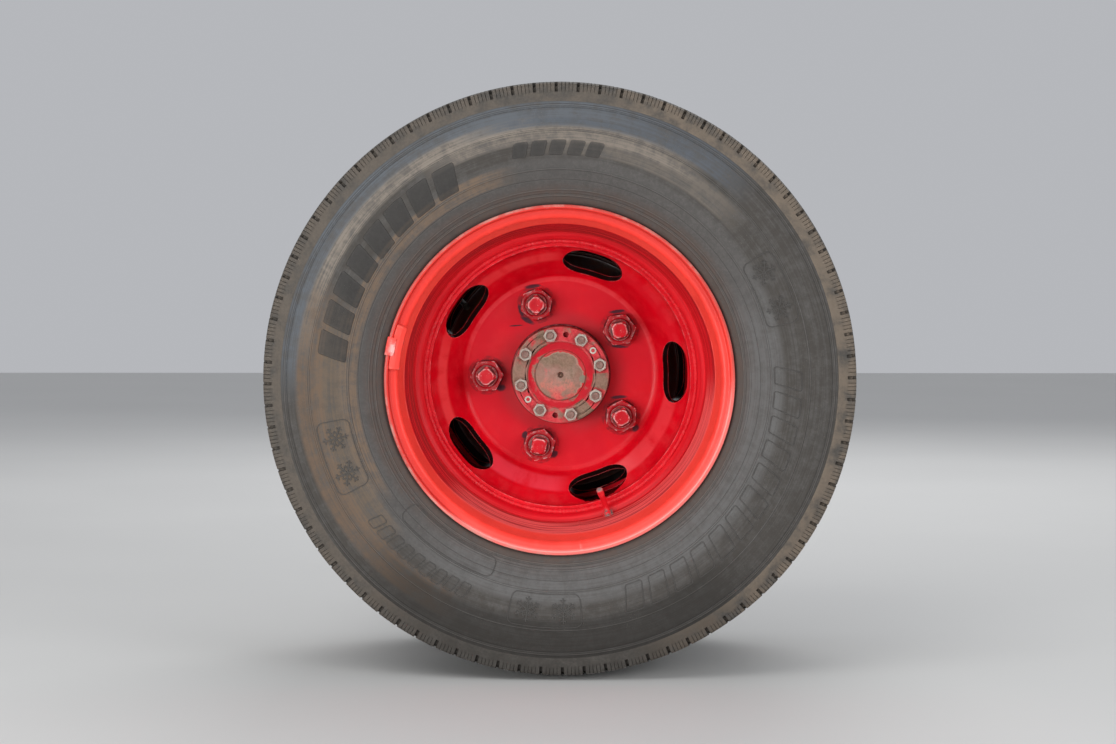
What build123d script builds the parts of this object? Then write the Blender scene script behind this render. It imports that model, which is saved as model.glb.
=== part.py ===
"""Rear twin wheel end of a truck: two tyred disc wheels on a hub that turns on a spindle.

Units are millimetres. Z is up, +Y points inboard along the axle, and -Y faces the roadside.
The origin is on the axle, in the spindle's mounting face. A station t is measured along the
axle from the plane where the two discs meet: t < 0 is outboard and t > 0 is inboard.
Angles are counter-clockwise from +X, as seen from the roadside.
"""
from math import cos, radians, sin, tan
import os

from build123d import *

# Wheel positions
mount_station = 243.5
wheel_offset = 127.0
spin_clearance = 0.05
seat_clearance = 0.1
face_clearance = 0.3

# Rim section
rim_sheet = 5.5
rim_width = 152.4
bead_seat_radius = 222.25
bead_seat_angle = 15.0
bead_seat_length = 26.0
flange_height = 12.7
flange_lip = 11.8
flange_bend = 5.0
seat_bend = 4.0
ledge_drop = 16.95
ledge_end = 18.0
well_drop = 27.75
well_start = 25.0
well_end = 42.0
well_rise_end = 55.0

# Disc section
disc_thickness = 9.0
disc_edge_station = -97.0
disc_cone_start = -75.4
disc_flat_radius = 137.0
disc_bore_gap = 0.5
disc_edge_bend = 30.0
disc_face_bend = 15.0

# Hand holes, punched square to the cone
hand_hole_count = 5
hand_hole_first_angle = 1.5
hand_hole_length = 86.0
hand_hole_width_share = 0.758
hand_hole_place_share = 0.442
valve_notch_length = 46.0
valve_notch_width = 30.0
valve_notch_depth = 9.5
notched_hole = 4

# Tyre section
tyre_radius = 402.5
tyre_width = 227.0
shoulder_drop = 7.0
shoulder_inset = 18.5
buttress_drop = 32.5
buttress_inset = 9.5
widest_share = 0.5312
crown_thickness = 24.0
carcass_shoulder_drop = 33.5
carcass_shoulder_inset = 29.5
sidewall_thickness = 11.5
bead_back_rise = 21.75
bead_back_inset = 3.2
bead_toe_inset = 21.2
bead_edge_rise = 20.75
bead_edge_reach = 10.8
groove_depth = 12.0
groove_width = 6.0
middle_groove_place = 18.5
side_groove_place = 56.0

# Hub
hub_end_station = -36.0
hub_end_chamfer = 1.5
hub_spigot_radius = 68.5
hub_flange_radius = 128.0
hub_flange_thickness = 16.0
hub_barrel_radius = 72.0
hub_core_taper = 14.0

# Wheel studs and nuts
stud_count = 5
stud_first_angle = 37.2
stud_circle = 208.0
stud_radius = 10.0
stud_tip_station = -45.0
stud_head_radius = 16.0
stud_head_thickness = 9.0
cap_nut_radius = 15.0
cap_nut_tip_station = -64.0
cap_square_width = 21.0
cap_square_length = 14.0
cap_bore_gap = 3.0
cap_square_chamfer = 1.2
cap_seat_depth = 3.5
outer_disc_hole_radius = 16.25
inner_disc_hole_radius = 11.6
outer_nut_across_flats = 41.0
outer_nut_height = 28.0
outer_nut_seat_depth = 3.7
nut_chamfer_angle = 60.0

# Quarter turns that each nut and its square end happened to stop at
# number, nut turn in degrees, square turn in degrees
nut_turns = (
    (1, 8.0, 12.0),
    (2, 20.0, 45.0),
    (3, 3.0, 42.0),
    (4, 14.0, -10.0),
    (5, 27.0, 30.0),
)

# Brake drum
drum_disc_gap = 10.0
drum_pilot_radius = 76.0
drum_wall = 10.0
drum_mouth_station = 215.0
drum_band_height = 5.0
drum_band_width = 24.0
drum_shoulder_inset = 3.0
drum_shoulder_run = 13.0
drum_web_bend = 18.0
drum_shoulder_bend = 30.0
drum_rib_height = 3.0
drum_rib_width = 7.0
drum_rib_places = (30.0, 56.0)

# Axle shaft and its flange
axle_flange_radius = 68.0
axle_flange_thickness = 14.0
axle_face_recess = 3.0
axle_boss_radius = 35.0
axle_recess_radius = 47.0
axle_centre_radius = 4.5
axle_centre_depth = 8.0
axle_shaft_radius = 18.0
axle_inner_end = 760.0
spline_radius = 19.5
spline_length = 72.0
spline_count = 20
spline_groove = 3.2
spline_depth = 1.8
axle_spigot_length = 2.0
axle_root_fillet = 5.0
axle_edge = 1.5

# Axle flange fasteners
flange_stud_count = 8
flange_stud_first_angle = 14.5
flange_stud_circle = 114.0
flange_stud_radius = 5.0
flange_stud_depth = 20.0
flange_nut_across_flats = 17.0
flange_nut_height = 8.0
flange_stud_reach = 3.0
jack_hole_angles = (82.3, 262.3)
jack_hole_radius = 4.0
dowel_angles = (37.0, 217.0)
dowel_radius = 5.0
dowel_depth = 10.0
dowel_reach = 1.2

# Bearings and seal
outer_bearing_station = -18.0
outer_bearing_width = 27.0
outer_bearing_radius = 50.0
outer_journal_radius = 27.5
inner_bearing_station = 75.0
inner_bearing_width = 33.0
inner_bearing_radius = 60.0
inner_journal_radius = 32.5
bearing_shoulder = 6.0
seal_width = 12.0
seal_land_radius = 40.0
seal_land_reach = 6.0

# Spindle
spindle_bore_radius = 23.0
spindle_end_station = -30.0
spindle_thread_radius = 26.5
spindle_neck_radius = 45.0
spindle_flange_radius = 105.0
spindle_flange_thickness = 18.0
spindle_flare = 12.0
mount_hole_count = 8
mount_hole_radius = 7.25
mount_circle = 170.0
mount_hole_first_angle = 22.5
lock_nut_across_flats = 68.0
lock_nut_thickness = 10.0

# Backing plate
plate_sheet = 3.5
plate_lip_clearance = 14.0
plate_hole_radius = 60.0
plate_lip_length = 14.0
plate_rib_width = 12.0
plate_rib_height = 5.0
plug_angles = (200.0, 340.0)
# Shares of the way from the spindle's flange to the plate's lip
plate_rib_share = 0.67429
fitting_share = 0.26286
plug_length = 30.0
plug_width = 14.0
plug_height = 3.0
cylinder_bolt_spacing = 34.0
cylinder_bolt_radius = 4.0
cylinder_bolt_across_flats = 13.0
cylinder_bolt_height = 6.0
pipe_union_across_flats = 12.0
pipe_union_height = 12.0
bleed_screw_across_flats = 10.0
bleed_screw_height = 7.0
bleed_nipple_radius = 3.0
bleed_nipple_height = 5.0
cylinder_port_spacing = 18.0

# Valves
valve_stem_radius = 4.0
valve_hole_radius = 5.2
valve_washer_radius = 7.0
valve_washer_thickness = 2.0
valve_nut_across_flats = 12.0
valve_nut_height = 5.0
valve_head_radius = 9.0
valve_head_thickness = 4.0
valve_station = -121.0
valve_bend = 14.0
valve_cap_radius = 4.6
valve_cap_length = 9.0
outer_valve_angle = 289.5
outer_valve_elbow = 13.0
outer_valve_tip_drop = 40.5
outer_valve_tip_station = -145.0
inner_valve_angle = 145.5
inner_valve_elbow_gap = 9.6
inner_valve_tip_rise = 3.5
inner_valve_tip_station = 48.0

# Clip-on balance weight
weight_start_angle = 160.8
weight_end_angle = 176.4
weight_thickness = 7.5
weight_foot_drop = 20.45
weight_round = 6.0
weight_wrap = 3.0
weight_top_gap = 0.3
clip_start_angle = 165.6
clip_end_angle = 171.6
clip_sheet = 1.5
clip_foot_drop = 10.95
clip_reach = 3.0

# Derived places
disc_y = -mount_station
half_rim = rim_width / 2
flange_radius = bead_seat_radius + flange_height
seat_drop = tan(radians(bead_seat_angle))
ledge_radius = bead_seat_radius - ledge_drop
well_radius = bead_seat_radius - well_drop
disc_edge_radius = well_radius - rim_sheet - disc_thickness
cone_run = disc_edge_radius - disc_flat_radius
cone_length = (cone_run**2 + (disc_cone_start + disc_thickness) ** 2) ** 0.5
hand_hole_width = hand_hole_width_share * cone_length
hand_hole_radius = disc_edge_radius - hand_hole_place_share * cone_run
valve_notch_shift = hand_hole_width / 2 + valve_notch_depth - valve_notch_width / 2
widest_radius = bead_seat_radius + widest_share * (tyre_radius - bead_seat_radius)
weight_foot_radius = flange_radius - weight_foot_drop
clip_foot_radius = flange_radius - clip_foot_drop
axle_axis = Axis((0, 0, 0), (0, 1, 0))
arc_axis = Axis((0, 0, 0), (0, -1, 0))
stud_ring_radius = stud_circle / 2
disc_bore_radius = hub_spigot_radius + disc_bore_gap
hub_flange_station = disc_thickness
drum_web_station = hub_flange_station + hub_flange_thickness
stud_head_station = drum_web_station + drum_wall
axle_face_station = hub_end_station - axle_flange_thickness
seal_station = inner_bearing_station + inner_bearing_width + face_clearance
hub_inner_end = seal_station + seal_width
spindle_flange_station = mount_station - spindle_flange_thickness
drum_outer_radius = disc_edge_radius - drum_disc_gap
drum_shoulder_radius = disc_flat_radius - drum_shoulder_inset
drum_shoulder_station = drum_shoulder_run - disc_edge_station
drum_band_radius = drum_outer_radius + drum_band_height
plate_lip_radius = drum_band_radius + plate_lip_clearance + plate_sheet
plate_land = plate_lip_radius - spindle_flange_radius
plate_rib_radius = spindle_flange_radius + plate_rib_share * plate_land
fitting_radius = spindle_flange_radius + fitting_share * plate_land
flange_hole_depth = axle_flange_thickness + axle_spigot_length


def across(station):
    """Plane across the axle at a station, seen from the roadside: x to the right, y up."""
    return Plane.XZ.offset(-(disc_y + station))


def along(angle, station=0.0):
    """Plane that holds the axle: local x is the radius at this angle, local y the station."""
    across_x = (cos(radians(angle)), 0, sin(radians(angle)))
    across_z = (-sin(radians(angle)), 0, cos(radians(angle)))
    return Plane(origin=(0, disc_y + station, 0), x_dir=across_x, z_dir=across_z)


def point_on(angle, radius, station):
    """World point at an angle, a radius and a station."""
    return (radius * cos(radians(angle)), disc_y + station, radius * sin(radians(angle)))


disc_plane = across(0.0)


# Tyres
def tyre(centre_station):
    """Tubeless tyre ring: half its section is drawn from the crown to the bead and mirrored.

    Four grooves run round the crown: two beside the middle and one inside each shoulder.
    """
    bead_side = half_rim - seat_clearance
    seat_radius = bead_seat_radius + seat_clearance
    half_width = tyre_width / 2
    bead_toe_half_width = half_rim - bead_toe_inset
    bead_edge = (bead_seat_radius + bead_edge_rise, half_rim + bead_edge_reach)
    bead_back = (bead_seat_radius + bead_back_rise, half_rim - bead_back_inset)
    carcass_widest = (widest_radius, half_width - sidewall_thickness)
    carcass_shoulder = (tyre_radius - carcass_shoulder_drop, half_width - carcass_shoulder_inset)
    shoulder = (tyre_radius - shoulder_drop, half_width - shoulder_inset)
    buttress = (tyre_radius - buttress_drop, half_width - buttress_inset)
    with BuildPart() as ring:
        with BuildSketch(along(0, centre_station)):
            with BuildLine():
                TangentArc((tyre_radius, 0), shoulder, tangent=(0, 1))
                Line(shoulder, buttress)
                ThreePointArc(buttress, (widest_radius, half_width), bead_edge)
                Polyline(
                    bead_edge,
                    (flange_radius - flange_bend + seat_clearance, bead_side),
                    (seat_radius + seat_bend, bead_side),
                    (seat_radius - seat_bend * seat_drop, bead_side - seat_bend),
                    (
                        seat_radius - (bead_side - bead_toe_half_width) * seat_drop,
                        bead_toe_half_width,
                    ),
                    bead_back,
                    carcass_widest,
                    carcass_shoulder,
                    (tyre_radius - crown_thickness, 0),
                )
                mirror(about=Plane.XZ)
            make_face()
            for groove_place in (middle_groove_place, side_groove_place):
                with Locations((tyre_radius, -groove_place), (tyre_radius, groove_place)):
                    Rectangle(2 * groove_depth, groove_width, mode=Mode.SUBTRACT)
        revolve(axis=axle_axis)
    return ring


outer_tyre = tyre(-wheel_offset)
inner_tyre = tyre(wheel_offset)


# Rims
def rim(valve_angle):
    """Drop-centre rim of the outer wheel: sheet bent along one path, with a valve hole."""
    out_side = -wheel_offset - half_rim
    in_side = -wheel_offset + half_rim
    path = (
        (flange_radius, out_side - flange_lip),
        (flange_radius, out_side - flange_bend),
        (flange_radius - flange_bend, out_side),
        (bead_seat_radius + seat_bend, out_side),
        (bead_seat_radius - seat_bend * seat_drop, out_side + seat_bend),
        (bead_seat_radius - bead_seat_length * seat_drop, out_side + bead_seat_length),
        (ledge_radius, -wheel_offset + ledge_end),
        (well_radius, -wheel_offset + well_start),
        (well_radius, -wheel_offset + well_end),
        (bead_seat_radius - (half_rim - well_rise_end) * seat_drop, -wheel_offset + well_rise_end),
        (bead_seat_radius - seat_bend * seat_drop, in_side - seat_bend),
        (bead_seat_radius + seat_bend, in_side),
        (flange_radius - flange_bend, in_side),
        (flange_radius, in_side + flange_bend),
        (flange_radius, in_side + flange_lip),
    )
    with BuildPart() as ring:
        with BuildSketch(along(0)):
            with BuildLine():
                Polyline(*path)
                offset(amount=rim_sheet, side=Side.LEFT, kind=Kind.TANGENT)
            make_face()
        revolve(axis=axle_axis)
        with BuildSketch(valve_plane(valve_angle)):
            Circle(valve_hole_radius)
        extrude(amount=2 * rim_sheet, both=True, mode=Mode.SUBTRACT)
    return ring


def ledge_point():
    """Radius of the ledge's open face at the valve's station, and its slope in degrees."""
    start = bead_seat_radius - bead_seat_length * seat_drop
    run = rim_width / 2 + ledge_end - bead_seat_length
    slope = (start - ledge_radius) / run
    passed = valve_station + wheel_offset + half_rim - bead_seat_length
    sheet_depth = rim_sheet * (1 + slope**2) ** 0.5
    return start - slope * passed - sheet_depth, slope


def valve_plane(angle):
    """Plane on the ledge's open face at the valve, facing the axle."""
    radius, slope = ledge_point()
    inward = (-cos(radians(angle)), -slope, -sin(radians(angle)))
    return Plane(origin=point_on(angle, radius, valve_station), z_dir=inward)


outer_rim = rim(outer_valve_angle)
unturned_inner_rim = rim(inner_valve_angle)
with BuildPart() as inner_rim:
    mirror(unturned_inner_rim.part, about=disc_plane)


# Discs
def hand_hole_plane(angle):
    """Plane on the cone's open face at a hand hole: x runs round the wheel, y outward."""
    station = disc_cone_start + hand_hole_place_share * (-disc_thickness - disc_cone_start)
    lean_in = (-disc_thickness - disc_cone_start) / cone_length
    lean_out = -cone_run / cone_length
    tangent = (sin(radians(angle)), 0, -cos(radians(angle)))
    facing = (-lean_in * cos(radians(angle)), lean_out, -lean_in * sin(radians(angle)))
    return Plane(
        origin=point_on(angle, hand_hole_radius, station), x_dir=tangent, z_dir=facing
    )


def pressed_disc(notched):
    """Pressed disc of the outer wheel, dished outboard, with its hand holes."""
    path = (
        (disc_edge_radius, disc_edge_station),
        (disc_edge_radius, disc_cone_start),
        (disc_flat_radius, -disc_thickness),
        (disc_bore_radius, -disc_thickness),
    )
    with BuildPart() as dish:
        with BuildSketch(along(0)):
            with BuildLine():
                FilletPolyline(*path, radius=(disc_edge_bend, disc_face_bend))
                offset(amount=disc_thickness, side=Side.RIGHT)
            make_face()
        revolve(axis=axle_axis)
        for number in range(hand_hole_count):
            angle = hand_hole_first_angle + number * 360 / hand_hole_count
            with BuildSketch(hand_hole_plane(angle)):
                SlotOverall(hand_hole_length, hand_hole_width)
                if notched and number == notched_hole:
                    with Locations((0, valve_notch_shift)):
                        SlotOverall(valve_notch_length, valve_notch_width)
            extrude(amount=2 * disc_thickness, both=True, mode=Mode.SUBTRACT)
    return dish


def cut_bolt_seats(station, hole_radius, seat_radius):
    """Countersunk wheel stud holes, sunk from the roadside."""
    with Locations(across(station)):
        with PolarLocations(stud_ring_radius, stud_count, start_angle=stud_first_angle):
            CounterSinkHole(hole_radius, seat_radius, counter_sink_angle=90)


notched_disc = pressed_disc(True)
plain_disc = pressed_disc(False)

with BuildPart() as outer_disc:
    add(notched_disc.part)
    cut_bolt_seats(
        -disc_thickness, outer_disc_hole_radius, outer_disc_hole_radius + outer_nut_seat_depth
    )

with BuildPart() as inner_disc:
    mirror(plain_disc.part, about=disc_plane)
    cut_bolt_seats(0.0, inner_disc_hole_radius, inner_disc_hole_radius + cap_seat_depth)


# Hub
with BuildPart() as hub:
    core_radius = outer_bearing_radius - bearing_shoulder
    outer_bearing_end = outer_bearing_station + outer_bearing_width
    with BuildSketch(along(0)):
        with BuildLine():
            Polyline(
                (outer_bearing_radius, hub_end_station),
                (hub_spigot_radius - hub_end_chamfer, hub_end_station),
                (hub_spigot_radius, hub_end_station + hub_end_chamfer),
                (hub_spigot_radius, hub_flange_station),
                (hub_flange_radius, hub_flange_station),
                (hub_flange_radius, drum_web_station),
                (drum_pilot_radius - seat_clearance, drum_web_station),
                (drum_pilot_radius - seat_clearance, stud_head_station),
                (hub_barrel_radius, stud_head_station),
                (hub_barrel_radius, hub_inner_end),
                (inner_bearing_radius, hub_inner_end),
                (inner_bearing_radius, inner_bearing_station),
                (inner_bearing_radius - bearing_shoulder, inner_bearing_station),
                (core_radius, inner_bearing_station - hub_core_taper),
                (core_radius, outer_bearing_end),
                (outer_bearing_radius, outer_bearing_end),
                close=True,
            )
        make_face()
    revolve(axis=axle_axis)
    with BuildSketch(across(hub_flange_station)):
        with PolarLocations(stud_ring_radius, stud_count, start_angle=stud_first_angle):
            Circle(stud_radius + seat_clearance)
    extrude(amount=-hub_flange_thickness, mode=Mode.SUBTRACT)
    with BuildSketch(across(hub_end_station)):
        with PolarLocations(flange_stud_circle / 2, flange_stud_count, start_angle=flange_stud_first_angle):
            Circle(flange_stud_radius + seat_clearance)
    extrude(amount=-flange_stud_depth, mode=Mode.SUBTRACT)
    with BuildSketch(across(hub_end_station)):
        for dowel_angle in dowel_angles:
            with PolarLocations(flange_stud_circle / 2, 1, start_angle=dowel_angle):
                Circle(dowel_radius + seat_clearance)
    extrude(amount=-dowel_depth, mode=Mode.SUBTRACT)


# Brake drum
with BuildPart() as brake_drum:
    drum_path = (
        (drum_pilot_radius, drum_web_station),
        (drum_shoulder_radius, drum_web_station),
        (drum_outer_radius, drum_shoulder_station),
        (drum_outer_radius, drum_mouth_station),
    )
    with BuildSketch(along(0)):
        with BuildLine():
            FilletPolyline(*drum_path, radius=(drum_web_bend, drum_shoulder_bend))
            offset(amount=drum_wall, side=Side.LEFT)
        make_face()
        with Locations((drum_outer_radius, drum_mouth_station - drum_band_width)):
            Rectangle(drum_band_height, drum_band_width, align=(Align.MIN, Align.MIN))
        for rib_place in drum_rib_places:
            with Locations((drum_outer_radius, drum_shoulder_station + rib_place)):
                Rectangle(drum_rib_height, drum_rib_width, align=(Align.MIN, Align.CENTER))
    revolve(axis=axle_axis)
    with BuildSketch(across(drum_web_station)):
        with PolarLocations(stud_ring_radius, stud_count, start_angle=stud_first_angle):
            Circle(stud_radius + seat_clearance)
    extrude(amount=-drum_wall, mode=Mode.SUBTRACT)


# Axle shaft, forged in one piece with its drive flange
with BuildPart() as axle_shaft:
    spigot_radius = outer_bearing_radius - seat_clearance
    spline_start = axle_inner_end - spline_length
    with BuildSketch(along(0)):
        with BuildLine():
            Polyline(
                (0, axle_face_station),
                (axle_boss_radius, axle_face_station),
                (axle_boss_radius + axle_edge, axle_face_station + axle_face_recess),
                (axle_recess_radius - axle_edge, axle_face_station + axle_face_recess),
                (axle_recess_radius, axle_face_station),
                (axle_flange_radius - axle_edge, axle_face_station),
                (axle_flange_radius, axle_face_station + axle_edge),
                (axle_flange_radius, hub_end_station),
                (spigot_radius, hub_end_station),
                (spigot_radius, hub_end_station + axle_spigot_length),
                (axle_shaft_radius + axle_root_fillet, hub_end_station + axle_spigot_length),
                (axle_shaft_radius, hub_end_station + axle_spigot_length + axle_root_fillet),
                (axle_shaft_radius, spline_start - spline_radius + axle_shaft_radius),
                (spline_radius, spline_start),
                (spline_radius, axle_inner_end - axle_edge),
                (spline_radius - axle_edge, axle_inner_end),
                (0, axle_inner_end),
                close=True,
            )
        make_face()
    revolve(axis=axle_axis)
    with Locations(across(axle_face_station)):
        CounterSinkHole(
            axle_centre_radius / 2, axle_centre_radius, depth=axle_centre_depth, counter_sink_angle=60
        )
        with PolarLocations(flange_stud_circle / 2, flange_stud_count, start_angle=flange_stud_first_angle):
            Hole(flange_stud_radius + seat_clearance, depth=flange_hole_depth)
        for jack_angle in jack_hole_angles:
            with PolarLocations(flange_stud_circle / 2, 1, start_angle=jack_angle):
                Hole(jack_hole_radius, depth=flange_hole_depth)
        for dowel_angle in dowel_angles:
            with PolarLocations(flange_stud_circle / 2, 1, start_angle=dowel_angle):
                Hole(dowel_radius + seat_clearance, depth=flange_hole_depth)
    with BuildSketch(across(axle_inner_end)):
        with PolarLocations(spline_radius, spline_count):
            Rectangle(2 * spline_depth, spline_groove)
    extrude(amount=spline_length, mode=Mode.SUBTRACT)


# Wheel studs and nuts
def stud_angle(number):
    """Angle of a wheel stud, counted from 1."""
    return stud_first_angle + (number - 1) * 360 / stud_count


def stud_section(number):
    """Plane that holds a stud's own axis: local x is the distance from it, local y the station."""
    radial = along(stud_angle(number))
    origin = point_on(stud_angle(number), stud_ring_radius, 0.0)
    return Plane(origin=origin, x_dir=radial.x_dir, z_dir=radial.z_dir)


def stud_axis(number):
    """A stud's own axis."""
    return Axis(point_on(stud_angle(number), stud_ring_radius, 0.0), (0, 1, 0))


def stud_face(number, station, turn):
    """Plane across a stud at a station, seen from the roadside and turned about the stud."""
    origin = point_on(stud_angle(number), stud_ring_radius, station)
    return Plane(origin=origin, x_dir=(cos(radians(turn)), 0, sin(radians(turn))), z_dir=(0, -1, 0))


def chamfered_hexagon(face, across_flats, height):
    """Hexagon that stands on a plane, with its top corners turned off."""
    top_radius = across_flats / 2 - seat_clearance
    spread = height * tan(radians(nut_chamfer_angle))
    with BuildSketch(face) as hexagon:
        RegularPolygon(across_flats / 2, 6, major_radius=False)
    extrude(hexagon.sketch, amount=height)
    with BuildSketch(face) as cone_foot:
        Circle(top_radius + spread)
    extrude(cone_foot.sketch, amount=height, taper=nut_chamfer_angle, mode=Mode.INTERSECT)


def wheel_stud(number):
    """Stud pressed in from the drum's side."""
    with BuildPart() as stud:
        with BuildSketch(stud_section(number)):
            with BuildLine():
                Polyline(
                    (0, stud_tip_station),
                    (stud_radius - axle_edge, stud_tip_station),
                    (stud_radius, stud_tip_station + axle_edge),
                    (stud_radius, stud_head_station),
                    (stud_head_radius, stud_head_station),
                    (stud_head_radius, stud_head_station + stud_head_thickness),
                    (0, stud_head_station + stud_head_thickness),
                    close=True,
                )
            make_face()
        revolve(axis=stud_axis(number))
    return stud


def cap_nut(number, square_turn):
    """Inner nut: it clamps the inner disc, carries the outer nut and ends in a square."""
    bore_radius = stud_radius + seat_clearance
    shoulder_station = cap_nut_tip_station + cap_square_length
    with BuildPart() as nut:
        with BuildSketch(stud_section(number)):
            with BuildLine():
                Polyline(
                    (bore_radius, cap_seat_depth - seat_clearance),
                    (cap_nut_radius - cap_seat_depth, cap_seat_depth - seat_clearance),
                    (cap_nut_radius, -seat_clearance),
                    (cap_nut_radius, shoulder_station),
                    (0, shoulder_station),
                    (0, stud_tip_station - cap_bore_gap),
                    (bore_radius, stud_tip_station - cap_bore_gap),
                    close=True,
                )
            make_face()
        revolve(axis=stud_axis(number))
        with BuildSketch(stud_face(number, shoulder_station, square_turn)):
            Rectangle(cap_square_width, cap_square_width)
        extrude(amount=cap_square_length)
        chamfer(nut.faces().sort_by(Axis.Y)[0].edges(), cap_square_chamfer)
    return nut


def outer_nut(number, turn):
    """Hexagon nut on the cap nut's thread, with a cone that seats in the outer disc."""
    seat_radius = outer_disc_hole_radius + outer_nut_seat_depth - seat_clearance
    with BuildPart() as nut:
        chamfered_hexagon(
            stud_face(number, -disc_thickness, turn), outer_nut_across_flats, outer_nut_height
        )
        with BuildSketch(stud_section(number)):
            with BuildLine():
                Polyline(
                    (0, -disc_thickness),
                    (seat_radius, -disc_thickness),
                    (outer_disc_hole_radius, outer_nut_seat_depth - disc_thickness - seat_clearance),
                    (0, outer_nut_seat_depth - disc_thickness - seat_clearance),
                    close=True,
                )
            make_face()
        revolve(axis=stud_axis(number))
        with BuildSketch(stud_face(number, 0.0, turn)):
            Circle(cap_nut_radius + seat_clearance)
        extrude(amount=disc_thickness + outer_nut_height, mode=Mode.SUBTRACT)
    return nut


each_stud = [wheel_stud(number) for number, nut_turn, square_turn in nut_turns]
each_cap_nut = [cap_nut(number, square_turn) for number, nut_turn, square_turn in nut_turns]
each_outer_nut = [outer_nut(number, nut_turn) for number, nut_turn, square_turn in nut_turns]

with BuildPart() as wheel_studs:
    for stud in each_stud:
        add(stud.part)

with BuildPart() as cap_nuts:
    for nut in each_cap_nut:
        add(nut.part)

with BuildPart() as outer_nuts:
    for nut in each_outer_nut:
        add(nut.part)


# Axle flange fasteners
with BuildPart() as flange_studs:
    flange_stud_tip = axle_face_station - flange_nut_height - flange_stud_reach
    with BuildSketch(across(flange_stud_tip)):
        with PolarLocations(flange_stud_circle / 2, flange_stud_count, start_angle=flange_stud_first_angle):
            Circle(flange_stud_radius)
    extrude(amount=flange_stud_tip - hub_end_station - flange_stud_depth)

with BuildPart() as flange_nut:
    chamfered_hexagon(Plane.XY, flange_nut_across_flats, flange_nut_height)
    Hole(flange_stud_radius + seat_clearance)

with BuildPart() as flange_nuts:
    with Locations(across(axle_face_station)):
        with PolarLocations(flange_stud_circle / 2, flange_stud_count, start_angle=flange_stud_first_angle):
            add(flange_nut.part)

with BuildPart() as flange_dowels:
    with BuildSketch(across(axle_face_station - dowel_reach)):
        for dowel_angle in dowel_angles:
            with PolarLocations(flange_stud_circle / 2, 1, start_angle=dowel_angle):
                Circle(dowel_radius)
    extrude(amount=-(dowel_reach + axle_flange_thickness + dowel_depth))


# Bearings and seal
def turned_ring(inner_radius, outer_radius, station, width):
    """Plain ring about the axle."""
    with BuildPart() as ring:
        with BuildSketch(across(station)):
            Circle(outer_radius)
            Circle(inner_radius, mode=Mode.SUBTRACT)
        extrude(amount=-width)
    return ring


outer_bearing = turned_ring(
    outer_journal_radius + spin_clearance,
    outer_bearing_radius - seat_clearance,
    outer_bearing_station,
    outer_bearing_width,
)
inner_bearing = turned_ring(
    inner_journal_radius + spin_clearance,
    inner_bearing_radius - seat_clearance,
    inner_bearing_station,
    inner_bearing_width,
)
oil_seal = turned_ring(
    seal_land_radius + spin_clearance, inner_bearing_radius - seat_clearance, seal_station, seal_width
)


# Spindle, which is bolted to the axle housing and stays still
with BuildPart() as spindle:
    thread_end = outer_bearing_station - face_clearance
    shoulder_station = inner_bearing_station + inner_bearing_width + face_clearance
    with BuildSketch(along(0)):
        with BuildLine():
            Polyline(
                (spindle_bore_radius, spindle_end_station),
                (spindle_thread_radius, spindle_end_station),
                (spindle_thread_radius, thread_end),
                (outer_journal_radius, thread_end),
                (outer_journal_radius, outer_bearing_station + outer_bearing_width),
                (inner_journal_radius, inner_bearing_station),
                (inner_journal_radius, shoulder_station),
                (seal_land_radius, shoulder_station),
                (seal_land_radius, hub_inner_end + seal_land_reach),
                (spindle_neck_radius, hub_inner_end + 2 * seal_land_reach),
                (spindle_neck_radius, spindle_flange_station - spindle_flare),
                (spindle_neck_radius + spindle_flare, spindle_flange_station),
                (spindle_flange_radius, spindle_flange_station),
                (spindle_flange_radius, mount_station),
                (spindle_bore_radius, mount_station),
                close=True,
            )
        make_face()
    revolve(axis=axle_axis)
    with BuildSketch(across(spindle_flange_station)):
        with PolarLocations(mount_circle / 2, mount_hole_count, start_angle=mount_hole_first_angle):
            Circle(mount_hole_radius)
    extrude(amount=-spindle_flange_thickness, mode=Mode.SUBTRACT)

with BuildPart() as lock_nut:
    with BuildSketch(across(outer_bearing_station - face_clearance)):
        RegularPolygon(lock_nut_across_flats / 2, 8, major_radius=False)
        Circle(spindle_thread_radius + seat_clearance, mode=Mode.SUBTRACT)
    extrude(amount=lock_nut_thickness)


# Backing plate and what shows on its back
def fitting_face(angle):
    """Plane on the plate's back at an angle, facing inboard, with x round the axle."""
    tangent = (sin(radians(angle)), 0, -cos(radians(angle)))
    origin = point_on(angle, fitting_radius, spindle_flange_station)
    return Plane(origin=origin, x_dir=tangent, z_dir=(0, 1, 0))


cylinder_angle = 90.0
cylinder_face = fitting_face(cylinder_angle)
cylinder_bolt_places = [(side * cylinder_bolt_spacing / 2, 0) for side in (-1, 1)]
cylinder_port_places = [(0, side * cylinder_port_spacing / 2) for side in (-1, 1)]

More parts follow.
